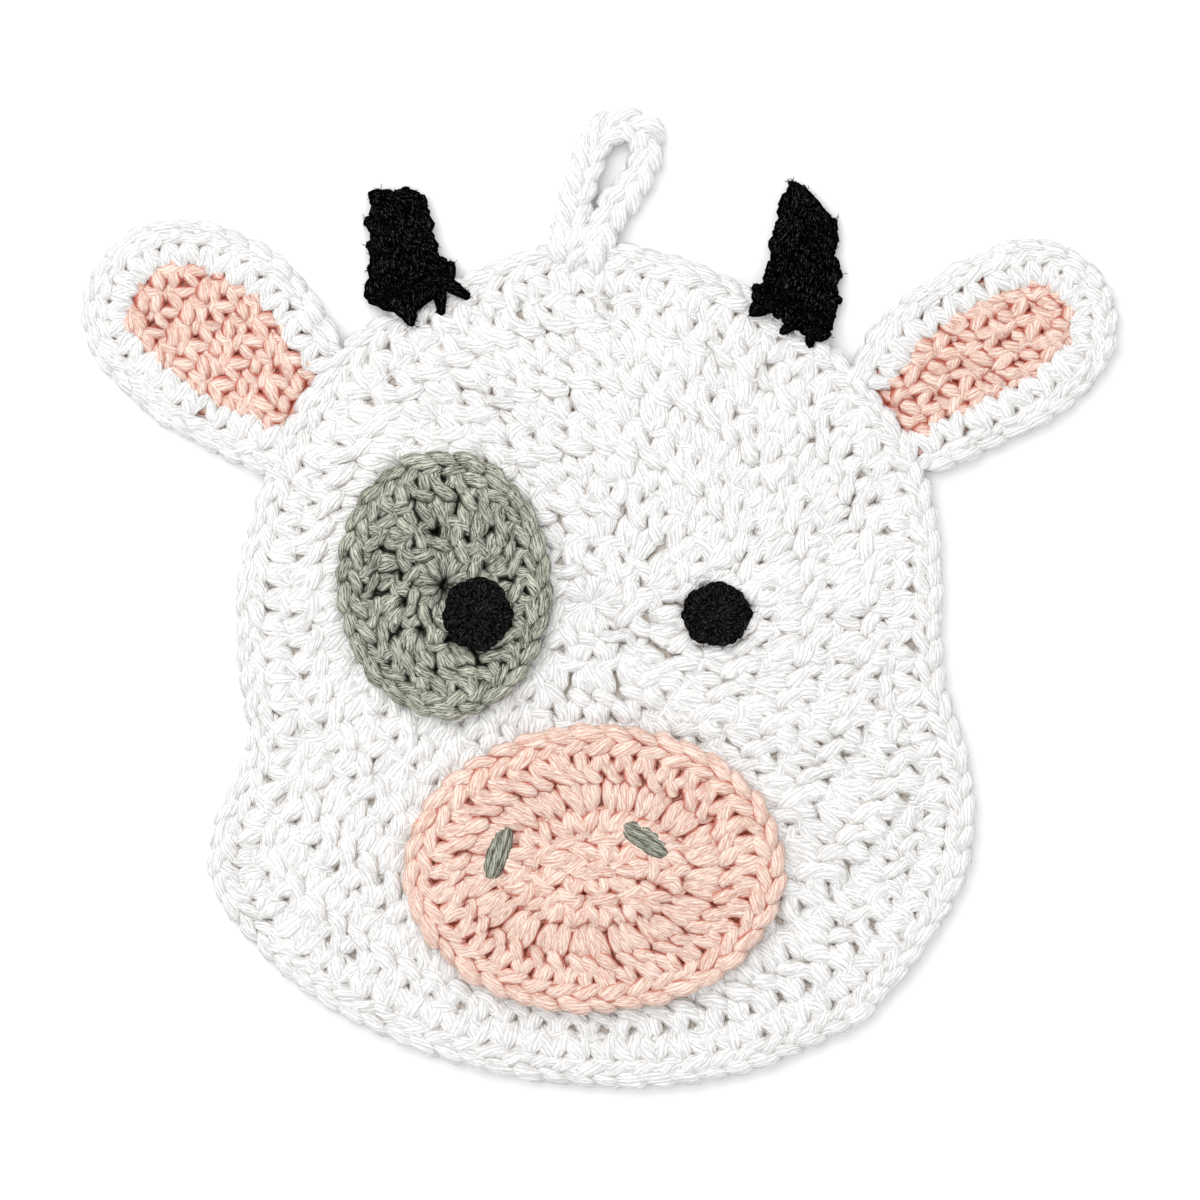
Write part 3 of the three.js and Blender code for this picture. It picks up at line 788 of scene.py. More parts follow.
def even_curve(curve, steps):
    """The same curve with its points at even distances."""
    run = np.r_[0, np.cumsum(np.linalg.norm(np.diff(curve, axis=0), axis=1))]
    even = np.linspace(0, run[-1], steps + 1)
    return np.stack([np.interp(even, run, curve[:, axis]) for axis in range(2)], 1)


def curve_length(curve):
    return float(np.linalg.norm(np.diff(curve, axis=0), axis=1).sum())


ROUNDS_MIDDLE = np.array([-2.011, -0.754])
head_edge = even_curve(outline(["face"], ROUNDS_MIDDLE), HEAD_STEPS)
print("round the head:", round(curve_length(head_edge)), "mm")

# %% Move in and out of an outline
SOFTEN = 7


def beyond(points, curve, middle):
    """How far points lie outside a star-shaped curve, in millimetres."""
    off = points - middle
    edge = curve - middle
    turn = np.arctan2(off[..., 1], off[..., 0])
    edge_turn = np.arctan2(edge[:, 1], edge[:, 0])
    order = np.argsort(edge_turn)
    reach = np.interp(turn, edge_turn[order], np.linalg.norm(edge, axis=1)[order], period=2 * np.pi)
    return np.linalg.norm(off, axis=-1) - reach


def beyond_head(points):
    return beyond(points, head_edge, ROUNDS_MIDDLE)


def outward(curve, closed=True):
    """Directions out of a counter-clockwise curve, softened over a few points."""
    if closed:
        loop = curve[:-1]
        ahead = np.roll(loop, -1, 0) - np.roll(loop, 1, 0)
        ahead = sum(np.roll(ahead, k, 0) for k in range(-SOFTEN, SOFTEN + 1))
        ahead = np.vstack([ahead, ahead[:1]])
    else:
        ahead = np.gradient(curve, axis=0)
        padded = np.pad(ahead, ((SOFTEN, SOFTEN), (0, 0)), "edge")
        ahead = sum(padded[k : k + len(ahead)] for k in range(2 * SOFTEN + 1))
    ahead /= np.linalg.norm(ahead, axis=1, keepdims=True)
    return np.stack([ahead[:, 1], -ahead[:, 0]], 1)


def inset(curve, distance, closed=True):
    """The curve moved inwards by a distance."""
    return curve - outward(curve, closed) * distance


forehead = np.array([0.0, 60.0])
print("from", forehead.tolist(), "to the head's edge:", round(-float(beyond_head(forehead)), 1), "mm")

# %% [markdown]
# Edges
# Seen from above, the last row's chain is a braid: two rows of lobes that lie against each other like a row
# of arrowheads. Each side of the braid is one yarn that rises out of the middle, lies down along the edge
# and dives under the next lobe. The stitches below could carry it in their own tables, but it also lies
# along the ovals, the ears and the loop, so it has a short table of its own. Each row gives a place along
# one lobe, from 0 to 1, then how far across the braid, the height and the yarn's radius, in millimetres.

# %% Braid along a curve
BRAID_SIDE = (
    (-0.02, -0.3, -0.5, 0.80),
    (0.14, 0.3, 0.6, 1.15),
    (0.45, 1.0, 1.3, 1.50),
    (0.82, 1.8, 1.2, 1.50),
    (1.15, 2.2, 0.3, 1.20),
    (1.28, 1.6, -0.7, 0.90),
    (1.10, 0.4, -1.0, 0.80),
)
BRAID_SHAKE = np.array([0.05, 0.16, 0.15])
BRAID_PHASE = 0.42


def braid(curve, count, seed, middle, plump=1.0, spread=1.0, closed=True, lift=None, flip=1.0):
    """Two yarns whose lobes make a braid along a curve. A flip of -1 turns its face to the table."""
    rng = np.random.default_rng(seed)
    sideways = outward(curve, closed)
    yarns = []
    for side in (-1.0, 1.0):
        u, v, w, r = np.array(BRAID_SIDE).T
        shake = rng.normal(0, 1, (count, len(u), 3)) * BRAID_SHAKE
        number = np.arange(count)[:, None] + (BRAID_PHASE if side > 0 else 0.0)
        s = (number + u + shake[..., 0]) / count
        across = side * (v * spread + shake[..., 1])
        xy = on_curve(curve, s, closed) + on_curve(sideways, s, closed) * across[..., None]
        z = middle + (w + shake[..., 2]) * flip
        if lift is not None:
            z = z + lift(xy)
        tone = rng.uniform(0, 1, (count, 1)) * np.ones_like(u)
        radii = r * plump * (1 + rng.normal(0, PLUMP, (count, 1)))
        points = np.concatenate([xy, z[..., None]], -1).reshape(-1, 3)
        yarns.append(a_yarn(points, radii.ravel(), tone.ravel(), rng.uniform(*PATTERN_STARTS)))
    return yarns


print("one lobe of a braid has", len(BRAID_SIDE), "points")

# %% [markdown]
# The ground
# Between the lobes of close crochet more yarn shows, never the table. More yarn behind each stitch would
# give that at a high cost in faces. A thin uneven sheet in each cloth, near the height of the yarns' middle,
# closes those gaps instead, and the cloth's flat size is printed under its name.

# %% Ground sheet inside an outline
GROUND_THICKNESS = 0.9
GROUND_RINGS = 10
GROUND_ROUGH = 0.12
LEAST_HOLLOW = 0.02
GROUND_GRAIN = 900.0
GROUND_DARKEST = 0.7
GROUND_BUMP_STRENGTH = 0.6
GROUND_BUMP_DISTANCE = 0.0005
GROUND_ROUGHNESS = 0.95


def ground_piece(name, middle, curve, height, finish, seed, hollow=0.0, lift=None):
    """A thin closed sheet that fills a star-shaped curve, from a hollow share of its reach outwards."""
    rng = np.random.default_rng(seed)
    steps = len(curve) - 1
    middle = np.array(middle)
    rings = np.linspace(max(hollow, LEAST_HOLLOW), 1, GROUND_RINGS)
    layers = []
    for side in (0.5, -0.5):
        flat = middle + rings[:, None, None] * (curve[None, :-1] - middle)
        rough = rng.normal(0, GROUND_ROUGH, flat.shape[:2])
        z = height + side * GROUND_THICKNESS + rough
        if lift is not None:
            z = z + lift(flat)
        layers.append(np.concatenate([flat, z[..., None]], -1).reshape(-1, 3))
    points = np.vstack(layers)
    size = steps * GROUND_RINGS
    i = np.arange(GROUND_RINGS - 1)[:, None] * steps
    j = np.arange(steps)[None]
    k = (j + 1) % steps
    top = np.stack([i + j, i + steps + j, i + steps + k, i + k], -1).reshape(-1, 4)
    rim = j[0] + (GROUND_RINGS - 1) * steps
    rim_next = k[0] + (GROUND_RINGS - 1) * steps
    outer_wall = np.stack([rim, rim + size, rim_next + size, rim_next], -1)
    inner_wall = np.stack([k[0], k[0] + size, j[0] + size, j[0]], -1)
    quads = np.vstack([top, top[:, ::-1] + size, outer_wall, inner_wall])
    return mesh_piece(name, points, quads.ravel(), np.full(len(quads), 4), finish)


def ground_finish(name, colour):
    """The inside of the cloth in a yarn colour darkened as painted shade: rough, with a fine fibre noise."""
    material = bpy.data.materials.new(name)
    material.use_nodes = True
    shader = material.node_tree.nodes["Principled BSDF"]
    start = Shade(material.node_tree)
    where = start.node("TexCoord", {}, {}, "Object")
    fine = start.node("TexNoise", {}, {"Vector": where, "Scale": GROUND_GRAIN, "Detail": STREAK_DETAIL}, 0)
    dark = tuple(GROUND_DARKEST * c for c in colour)
    mixed = mix_colours(start, fine, (*dark, 1), (*colour, 1))
    bump = {"Strength": GROUND_BUMP_STRENGTH, "Distance": GROUND_BUMP_DISTANCE, "Height": fine}
    normal = start.node("Bump", {}, bump)
    material.node_tree.links.new(mixed.socket, shader.inputs["Base Color"])
    material.node_tree.links.new(normal.socket, shader.inputs["Normal"])
    shader.inputs["Roughness"].default_value = GROUND_ROUGHNESS
    return material


# The ground's colours are the yarns' own, darkened as painted shade, since the gaps that the ground fills
# lie in shade.
WHITE_SHADED_GROUND = ground_finish("white_cotton_shaded_inside", (0.74, 0.67, 0.60))
PINK_SHADED_GROUND = ground_finish("pink_cotton_shaded_inside", (0.86, 0.46, 0.36))
SAGE_SHADED_GROUND = ground_finish("sage_cotton_shaded_inside", (0.12, 0.12, 0.09))
BLACK_SHADED_GROUND = ground_finish("black_yarn_shaded_inside", (0.003, 0.003, 0.003))
print("a ground sheet is", GROUND_THICKNESS, "mm thick")

# %% What the library is told of a cloth
def sheet_area(curve):
    """The area inside a closed curve, in square metres."""
    x, y = curve[:-1].T
    return abs(float((x * np.roll(y, -1) - y * np.roll(x, -1)).sum()) / 2) * MM * MM


def declare_yarn(piece, node):
    """Ride on the one body and stand for a solid."""
    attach(piece, "root")
    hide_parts(node)


def declare_cloth(ground, yarns, curve, node):
    """Declare each piece of a cloth and print the cloth's flat size."""
    for piece in (ground, *yarns):
        declare_yarn(piece, node)
    wide, tall = (curve.max(0) - curve.min(0)) * MM
    print(f"{ground.name}: flat {wide / MM:.0f} x {tall / MM:.0f} mm")


print("the head's cloth covers", round(sheet_area(head_edge) / (10 * MM) ** 2), "square centimetres")

# %% [markdown]
# The head
# Five rounds of tall stitches grow from a middle ring, each with about thirteen more than the last. They
# could be one long spiral, but separate rounds are plain strips between two circles, each with its own
# count. Two part rows below them make the cheeks and chin. A round of low stitches and the braid follow the
# whole outline.

# %% The head's rounds
ROUND_HEIGHT = 15.1
ROUND_STITCHES = (10, 10, 25, 38, 51, 64)
CENTRE_HOLE = 1.2
UNEVEN_SEAM = 0.5
FACE_MIDDLE = 2.5
FACE_HALF = 2.9
FACE_PLUMP = 1.13

round_yarns = []
for k in range(1, len(ROUND_STITCHES)):
    inner = circle(ROUNDS_MIDDLE, max(ROUND_HEIGHT * (k - 1), CENTRE_HOLE), uneven=UNEVEN_SEAM * (k > 1))
    outer = circle(ROUNDS_MIDDLE, ROUND_HEIGHT * k, uneven=UNEVEN_SEAM)
    round_yarns.append(
        work_row(
            strip(inner, outer),
            ROUND_STITCHES[k],
            TALL_STITCH if k > 1 else FIRST_STITCH,
            TALL_HEIGHT,
            seed=10 + k,
            middle=FACE_MIDDLE,
            parents=ROUND_STITCHES[k - 1],
            plump=FACE_PLUMP,
        )
    )
head_inner = yarn_piece("face_rounds_inner", round_yarns[:4], WHITE, FACE_MIDDLE, FACE_HALF)
head_outer = yarn_piece("face_round_outer", round_yarns[4:], WHITE, FACE_MIDDLE, FACE_HALF)

# %% The cheeks' rows
EDGE_BAND = 12.0
CHEEK_ROWS = 2
LEAST_ROW = 2.5
CHEEK_FROM = 196.0
CHEEK_TO = 350.0
CHEEK_STEP = 0.5

edge_inside = inset(head_edge, EDGE_BAND)
inside_polar = edge_inside - ROUNDS_MIDDLE
inside_angle = np.degrees(np.arctan2(inside_polar[:, 1], inside_polar[:, 0])) % 360
order = np.argsort(inside_angle)
inside_angle = inside_angle[order]
inside_reach = np.linalg.norm(inside_polar, axis=1)[order]
rounds_reach = ROUND_HEIGHT * (len(ROUND_STITCHES) - 1)


def cheek_seam(row, angle):
    """How far the seam above a cheek row lies from the rounds' middle."""
    room = np.interp(angle, inside_angle, inside_reach, period=360)
    deepest = inside_reach[(inside_angle > CHEEK_FROM) & (inside_angle < CHEEK_TO)].max()
    height = (deepest - rounds_reach) / CHEEK_ROWS
    return np.minimum(rounds_reach + height * row, room)


cheek_yarns = []
for row in range(CHEEK_ROWS):
    angle = np.arange(CHEEK_FROM, CHEEK_TO, CHEEK_STEP)
    low, high = cheek_seam(row, angle), cheek_seam(row + 1, angle)
    fits = high - low > LEAST_ROW
    angle, low, high = angle[fits], low[fits], high[fits]
    turn = np.stack([np.cos(np.radians(angle)), np.sin(np.radians(angle))], 1)
    inner = ROUNDS_MIDDLE + low[:, None] * turn
    outer = ROUNDS_MIDDLE + high[:, None] * turn
    count = round(curve_length((inner + outer) / 2) / STITCH_WIDTH)
    cheek_yarns.append(
        work_row(
            strip(inner, outer, closed=False),
            count,
            TALL_STITCH,
            TALL_HEIGHT,
            seed=30 + row,
            middle=FACE_MIDDLE,
            plump=FACE_PLUMP,
            closed=False,
        )
    )
    print("cheek row", row + 1, "has", count, "stitches")
cheeks = yarn_piece("face_cheek_rows", cheek_yarns, WHITE, FACE_MIDDLE, FACE_HALF)

# %% The head's edge
BRAID_BAND = 5.6
BRAID_INSET = 3.1
EDGE_STITCH = 6.7
EDGE_PLUMP = 1.17
EDGE_BRAID_RISE = 0.4
UNDER_PLUMP = 0.85

edge_count = round(curve_length(head_edge) / EDGE_STITCH)
low_round = work_row(
    strip(edge_inside, inset(head_edge, BRAID_BAND)),
    edge_count,
    OPEN_STITCH,
    LOW_HEIGHT,
    seed=40,
    middle=FACE_MIDDLE,
    plump=EDGE_PLUMP,
)
braid_line = inset(head_edge, BRAID_INSET)
upper_braid = braid(braid_line, edge_count, 41, FACE_MIDDLE + EDGE_BRAID_RISE)
under_braid = braid(
    braid_line, edge_count, 42, FACE_MIDDLE - EDGE_BRAID_RISE, flip=-1.0, plump=UNDER_PLUMP
)
face_edge = yarn_piece(
    "face_edge",
    [low_round, *upper_braid, *under_braid],
    WHITE,
    FACE_MIDDLE,
    FACE_HALF,
    rim=(head_edge, ROUNDS_MIDDLE),
)

# %% The head's ground
FACE_GROUND_INSET = 2.5
FACE_GROUND_RISE = 0.1
FACE_GROUND_STEPS = 140

face_ground = ground_piece(
    "face_ground",
    ROUNDS_MIDDLE,
    even_curve(inset(head_edge, FACE_GROUND_INSET), FACE_GROUND_STEPS),
    FACE_MIDDLE + FACE_GROUND_RISE,
    WHITE_SHADED_GROUND,
    seed=50,
)
declare_cloth(
    face_ground, [head_inner, head_outer, cheeks, face_edge], head_edge, "face"
)

# %% [markdown]
# The oval pieces
# The muzzle starts from a short chain, with two rounds of low stitches and one of tall ones round it. The
# patch starts from a ring and is two rounds of tall stitches. Both have the braid turned up round them, and
# both lie on the head's face. They differ only in sizes and counts, so one function works both of them from
# a short list, where two sets of lines would do the same twice.

# %% Rounds in an oval
OVAL_PLUMP = 1.03
OVAL_DEPTH = 0.85
OVAL_HALF = 2.6
OVAL_LOW = 2.3
OVAL_MIDDLE_HEIGHT = 7.5
RIM_LAP = 1.1
CHAIN_RISE = 0.5
CHAIN_PLUMP = 0.95
CHAIN_SPREAD = 0.6
CHAIN_STEPS = 60
BRAID_REACH = 6.2
UNDER_REACH = 6.6
UNDER_DROP = 0.6
OVAL_UNDER_PLUMP = 0.8
OVAL_WAVES = (5, 8)


def oval(middle, half_wide, half_high, lean, steps=SEAM_STEPS, uneven=0.0):
    """An ellipse, leaning by some degrees, a little uneven, counter-clockwise."""
    turn = np.linspace(0, 2 * np.pi, steps + 1)
    coarse, fine = OVAL_WAVES
    waves = np.sin(coarse * turn + half_high) + FINE_WAVE * np.sin(fine * turn + half_wide)
    reach = 1 + uneven * waves
    x = half_wide * reach * np.cos(turn)
    y = half_high * reach * np.sin(turn)
    c, s = math.cos(math.radians(lean)), math.sin(math.radians(lean))
    return np.array(middle) + np.stack([x * c - y * s, x * s + y * c], 1)


def worked_oval(name, shape, seed, finish):
    """Rounds from a start oval to the edge, each a share of the way, a count and a stitch, and a braid."""
    middle, half, start, lean, band = (shape[key] for key in ("middle", "half", "start", "lean", "band"))
    rim = (half[0] - band + RIM_LAP, half[1] - band + RIM_LAP)
    yarns = []
    inner_part, parents = 0.0, shape["first_count"]
    if shape["chains"]:
        direction = np.array([math.cos(math.radians(lean)), math.sin(math.radians(lean))])
        line = middle + np.linspace(-1, 1, CHAIN_STEPS)[:, None] * start[0] * direction
        height = OVAL_MIDDLE_HEIGHT + CHAIN_RISE
        yarns += braid(
            line, shape["chains"], seed + 9, height, plump=CHAIN_PLUMP, spread=CHAIN_SPREAD, closed=False
        )
    for k, (outer_part, count, stitch) in enumerate(shape["rounds"]):
        sizes = [
            (start[0] + (rim[0] - start[0]) * part, start[1] + (rim[1] - start[1]) * part)
            for part in (inner_part, outer_part)
        ]
        inner, outer = (oval(middle, wide, high, lean) for wide, high in sizes)
        yarns.append(
            work_row(
                strip(even_curve(inner, SEAM_STEPS), even_curve(outer, SEAM_STEPS)),
                count,
                stitch,
                TALL_HEIGHT if stitch in (TALL_STITCH, FIRST_STITCH) else LOW_HEIGHT,
                seed=seed + k,
                middle=OVAL_MIDDLE_HEIGHT,
                parents=parents,
                plump=OVAL_PLUMP,
                depth=OVAL_DEPTH,
            )
        )
        inner_part, parents = outer_part, count
    edge = even_curve(oval(middle, half[0] - band / 2, half[1] - band / 2, lean), EDGE_STEPS)
    count = round(curve_length(edge) / shape["edge_stitch"])
    under_height = OVAL_MIDDLE_HEIGHT - UNDER_DROP
    yarns += braid(edge, count, seed + 5, OVAL_MIDDLE_HEIGHT, spread=band / BRAID_REACH)
    yarns += braid(
        edge, count, seed + 6, under_height, plump=OVAL_UNDER_PLUMP, spread=band / UNDER_REACH, flip=-1.0
    )
    low = OVAL_MIDDLE_HEIGHT - OVAL_LOW
    rim_curve = oval(middle, half[0], half[1], lean)
    return yarn_piece(name, yarns, finish, OVAL_MIDDLE_HEIGHT, OVAL_HALF, low=low, rim=(rim_curve, middle))


print("an oval's yarn starts", round(OVAL_MIDDLE_HEIGHT - OVAL_LOW, 1), "mm above the table")

# %% Muzzle and patch
OVAL_GROUND_INSET = 3.0
OVAL_GROUND_DROP = 0.5
OVAL_STEPS = 96
OVALS = {
    "muzzle": {
        "middle": ROUNDS_MIDDLE + (0.6, -65.9),
        "half": (47.1, 35.5),
        "lean": 1.5,
        "start": (7.6, 1.0),
        "chains": 3,
        "first_count": 8,
        "rounds": ((0.22, 9, OPEN_STITCH), (0.46, 17, BACK_STITCH), (1.0, 38, TALL_STITCH)),
        "band": 7.0,
        "edge_stitch": 6.6,
    },
    "patch": {
        "middle": ROUNDS_MIDDLE + (-36.6, 4.6),
        "half": (26.0, 32.6),
        "lean": 5.0,
        "start": (2.0, 2.6),
        "chains": 0,
        "first_count": 10,
        "rounds": ((0.5, 10, FIRST_STITCH), (1.0, 23, TALL_STITCH)),
        "band": 5.6,
        "edge_stitch": 6.5,
    },
}


def dress_oval(node, seed, ground_seed, finish, inside):
    """The yarn and the ground of one oval piece."""
    shape = OVALS[node]
    yarn = worked_oval(f"{node}_rounds", shape, seed, finish)
    curve = oval(shape["middle"], *shape["half"], shape["lean"], OVAL_STEPS)
    height = OVAL_MIDDLE_HEIGHT - OVAL_GROUND_DROP
    inner = inset(curve, OVAL_GROUND_INSET)
    ground = ground_piece(f"{node}_ground", shape["middle"], inner, height, inside, seed=ground_seed)
    declare_cloth(ground, [yarn], curve, node)


dress_oval("muzzle", 60, 51, PINK, PINK_SHADED_GROUND)
dress_oval("patch", 70, 52, SAGE, SAGE_SHADED_GROUND)

# %% [markdown]
# The ears
# Each ear is a pink piece worked in short rows of low stitches, with a white round and braid worked into its
# edge. The white stitches reach in over the pink in a zigzag. The pink rows could be bent round the ear as
# the head's rounds are, but the real ones run straight across it. So they are cut to its outline: for each
# row, the outline is met on both sides.

# %% Rows across a shape
ROW_NUDGE = 0.25
SEAM_POINTS = 9


def across_shape(curve, origin, ahead, reach):
    """Where the line across at a reach along a direction meets a closed curve, left and right."""
    side = np.array([-ahead[1], ahead[0]])
    along = (curve - origin) @ ahead - reach
    off = (curve - origin) @ side
    crosses = np.nonzero(along[:-1] * along[1:] <= 0)[0]
    part = along[crosses] / (along[crosses] - along[crosses + 1] + TINY)
    met = off[crosses] + (off[crosses + 1] - off[crosses]) * part
    centre = origin + ahead * reach
    return centre + side * met.max(), centre + side * met.min()


def rows_in_shape(curve, origin, ahead, row_height, stitch_width, seed, middle, plump, stitches, lift):
    """Turned rows that fill a closed curve along a direction, with the stitch tables in turn."""
    along = (curve - origin) @ ahead
    count = round((along.max() - along.min()) / row_height)
    levels = np.linspace(along.min(), along.max(), count + 1)
    yarns = []
    for k in range(count):
        nudge = ahead * (levels[k + 1] - levels[k]) * ROW_NUDGE
        seams = []
        for level, push in ((levels[k], 1), (levels[k + 1], -1)):
            reach = level + push * (levels[1] - levels[0]) * ROW_NUDGE
            left, right = across_shape(curve, origin, ahead, reach)
            seams.append(np.linspace(left - push * nudge, right - push * nudge, SEAM_POINTS))
        inner, outer = seams
        if k % 2:
            inner, outer = inner[::-1], outer[::-1]
        mid = SEAM_POINTS // 2
        width = np.linalg.norm(inner[mid] + outer[mid] - inner[0] - outer[0])
        row = work_row(
            strip(inner, outer, closed=False),
            max(round(width / stitch_width), 2),
            stitches[k % len(stitches)],
            row_height,
            seed=seed + k,
            middle=middle,
            plump=plump,
            lift=lift,
            closed=False,
        )
        yarns.append(row)
    return yarns


def node_middle(name):
    """The middle of a node's box, seen from above, in millimetres."""
    low_corner, high_corner = (np.array(corner[:2]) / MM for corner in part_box(name))
    return (low_corner + high_corner) / 2


print("the left ear's middle:", node_middle("ear_left_inner").round(1).tolist())

# %% The part of an outline that is free of the head
FREE_FROM = 1.2


def free_run(curve):
    """The longest stretch of a closed curve that lies clear of the head's edge, in order."""
    loop = curve[:-1]
    free = beyond_head(loop) > FREE_FROM
    start = next(i for i in range(len(free)) if free[i] and not free[i - 1])
    loop, free = np.roll(loop, -start, 0), np.roll(free, -start)
    stop = len(free) if free.all() else int(np.argmin(free))
    return loop[:stop]


def unit(vector):
    return vector / np.linalg.norm(vector)


print("free from", FREE_FROM, "mm outside the head's edge")

# %% The ears' pink rows
EAR_MIDDLE_HEIGHT = 2.3
EAR_HALF = 2.6
EAR_BRAID_BAND = 4.6
EAR_ROW = 5.4
EAR_STITCH = 6.2
EAR_PLUMP = 0.98
EAR_PINK_INSET = 7.5
EAR_ROOT_LAP = 2.0
EAR_ROOT_TURN = 2.0
EAR_ROOT_FROM = 0.8
EAR_ROOT_RUN = 2.0
EAR_SINK = 1.6
EAR_SINK_RUN = 3.5
EAR_ROOT_SINK = 1.2
EAR_CLEAR = 5.4
EAR_PULL = 3.0
PINK_STEPS = 180


def pink_outline(ear_edge, ear_middle, ahead):
    """The ear's outline set in, and carried on a little under the head at its root."""
    facing = np.clip(outward(ear_edge) @ -ahead * EAR_ROOT_TURN - EAR_ROOT_FROM, 0, 1)[:, None]
    shrunk = inset(ear_edge, EAR_PINK_INSET)
    edge = even_curve(shrunk - ahead * facing * (EAR_PINK_INSET + EAR_ROOT_LAP), PINK_STEPS)
    over = np.clip(beyond(edge, ear_edge, ear_middle) + EAR_BRAID_BAND, 0, None)
    over = over * np.clip(beyond_head(edge) / EAR_ROOT_RUN + 1, 0, 1)
    away = edge - ear_middle
    return edge - away / np.linalg.norm(away, axis=1, keepdims=True) * over[:, None]


def pink_rows(pink_edge, ear_edge, ear_middle, ahead, seed):
    """Turned rows that dive under the white round and the head, and keep clear of the ear's free edge."""

    def sink(xy):
        under_white = EAR_SINK * np.clip(beyond(xy, pink_edge, ear_middle) / EAR_SINK_RUN + 1, 0, 1)
        return -under_white - EAR_ROOT_SINK * np.clip(1 - beyond_head(xy), 0, 1)

    yarns = rows_in_shape(
        pink_edge,
        ear_middle,
        ahead,
        EAR_ROW,
        EAR_STITCH,
        seed,
        EAR_MIDDLE_HEIGHT,
        EAR_PLUMP,
        (OPEN_STITCH, BACK_STITCH),
        sink,
    )
    free = free_run(ear_edge)
    for yarn in yarns:
        flat = yarn["points"][:, :2]
        near = np.linalg.norm(flat[:, None] - free, axis=2).min(1)
        inwards = ear_middle - flat
        inwards /= np.linalg.norm(inwards, axis=1, keepdims=True)
        flat += inwards * np.clip(EAR_CLEAR - near, 0, EAR_PULL)[:, None]
    return yarns


print("a pink row is", EAR_ROW, "mm high")

# %% The ears' white round
EAR_BORDER = 11.2
EAR_BRAID_INSET = 2.7
EAR_EDGE_STITCH = 6.6
EAR_EDGE_PLUMP = 1.07
EAR_EDGE_RISE = 0.6
EAR_UPPER_RISE = 0.4
EAR_UNDER_DROP = 0.3
EAR_SPREAD = 0.85
EAR_REACH = 3.0
EAR_LEAD = 4
WHITE_STEPS = 300


def white_round(ear_edge, sign):
    """A round of low stitches and a braid, from one side of the ear's root to the other."""
    free = free_run(ear_edge)
    first = free[0] + EAR_REACH * unit(free[0] - free[EAR_LEAD])
    last = free[-1] + EAR_REACH * unit(free[-1] - free[-1 - EAR_LEAD])
    free = even_curve(np.vstack([first, free, last]), WHITE_STEPS)
    stitches = round(curve_length(free) / EAR_EDGE_STITCH)
    low_round = work_row(
        strip(inset(free, EAR_BORDER, False), inset(free, EAR_BRAID_BAND, False), closed=False),
        stitches,
        OPEN_STITCH,
        LOW_HEIGHT,
        seed=110 + sign,
        middle=EAR_MIDDLE_HEIGHT + EAR_EDGE_RISE,
        plump=EAR_EDGE_PLUMP,
        closed=False,
    )
    line = inset(free, EAR_BRAID_INSET, False)
    upper_height, under_height = EAR_MIDDLE_HEIGHT + EAR_UPPER_RISE, EAR_MIDDLE_HEIGHT - EAR_UNDER_DROP
    upper = braid(line, stitches, 120 + sign, upper_height, spread=EAR_SPREAD, closed=False)
    under = braid(
        line, stitches, 124 + sign, under_height, UNDER_PLUMP, spread=EAR_SPREAD, closed=False, flip=-1.0
    )
    return [low_round, *upper, *under]


print("the white round is", EAR_BORDER, "mm wide with its braid")

# %% Both ears
EAR_HOLLOW = 0.68
EAR_GROUND_INSET = 2.4
EAR_GROUND_STEPS = 96
EAR_GROUND_RISE = 0.5
EAR_GROUND_DROP = 1.5
EAR_DROP_FROM = 5.5
EAR_DROP_RUN = 2.5


def lower_near_pink(ear_edge, ear_middle):
    """A lift that lowers the white ground where it comes near the pink."""

    def drop(xy):
        inside = -beyond(xy, ear_edge, ear_middle) - EAR_DROP_FROM
        return -EAR_GROUND_DROP * np.clip(inside / EAR_DROP_RUN, 0, 1)

    return drop


for side, sign in (("left", -1), ("right", 1)):
    border, inner_node = f"ear_{side}_border", f"ear_{side}_inner"
    ear_middle = node_middle(inner_node)
    ear_edge = even_curve(outline([border, inner_node], ear_middle), EDGE_STEPS)
    ahead = unit(ear_middle - ROUNDS_MIDDLE)
    pink_edge = pink_outline(ear_edge, ear_middle, ahead)
    pink_yarns = pink_rows(pink_edge, ear_edge, ear_middle, ahead, 100 + sign * 3)
    pink = yarn_piece(f"ear_{side}_rows", pink_yarns, EAR_PINK_MORE_SHADE, EAR_MIDDLE_HEIGHT, EAR_HALF)
    pink_ground = ground_piece(
        f"ear_{side}_inner_ground", ear_middle, pink_edge, EAR_MIDDLE_HEIGHT, PINK_SHADED_GROUND, seed=53
    )
    declare_cloth(pink_ground, [pink], pink_edge, inner_node)
    white_yarns = white_round(ear_edge, sign)
    rim = (ear_edge, ear_middle)
    white = yarn_piece(f"ear_{side}_edge", white_yarns, WHITE, EAR_MIDDLE_HEIGHT, EAR_HALF, rim=rim)
    white_ground = ground_piece(
        f"ear_{side}_border_ground",
        ear_middle,
        even_curve(inset(ear_edge, EAR_GROUND_INSET), EAR_GROUND_STEPS),
        EAR_MIDDLE_HEIGHT + EAR_GROUND_RISE,
        WHITE_SHADED_GROUND,
        seed=55,
        hollow=EAR_HOLLOW,
        lift=lower_near_pink(ear_edge, ear_middle),
    )
    declare_cloth(white_ground, [white], ear_edge, border)

# %% [markdown]
# The horns
# Both horns are strips of fine fuzzy black yarn in short rows, whose turns make a bump at each side. Their
# roots lap a little over the head's edge, and two long black stitches hold each of them. A plain strip that
# ends at the edge would be simpler, but it would look glued on. The solids do end there, so the outline of
# each root is a short list of points on the head, in millimetres.

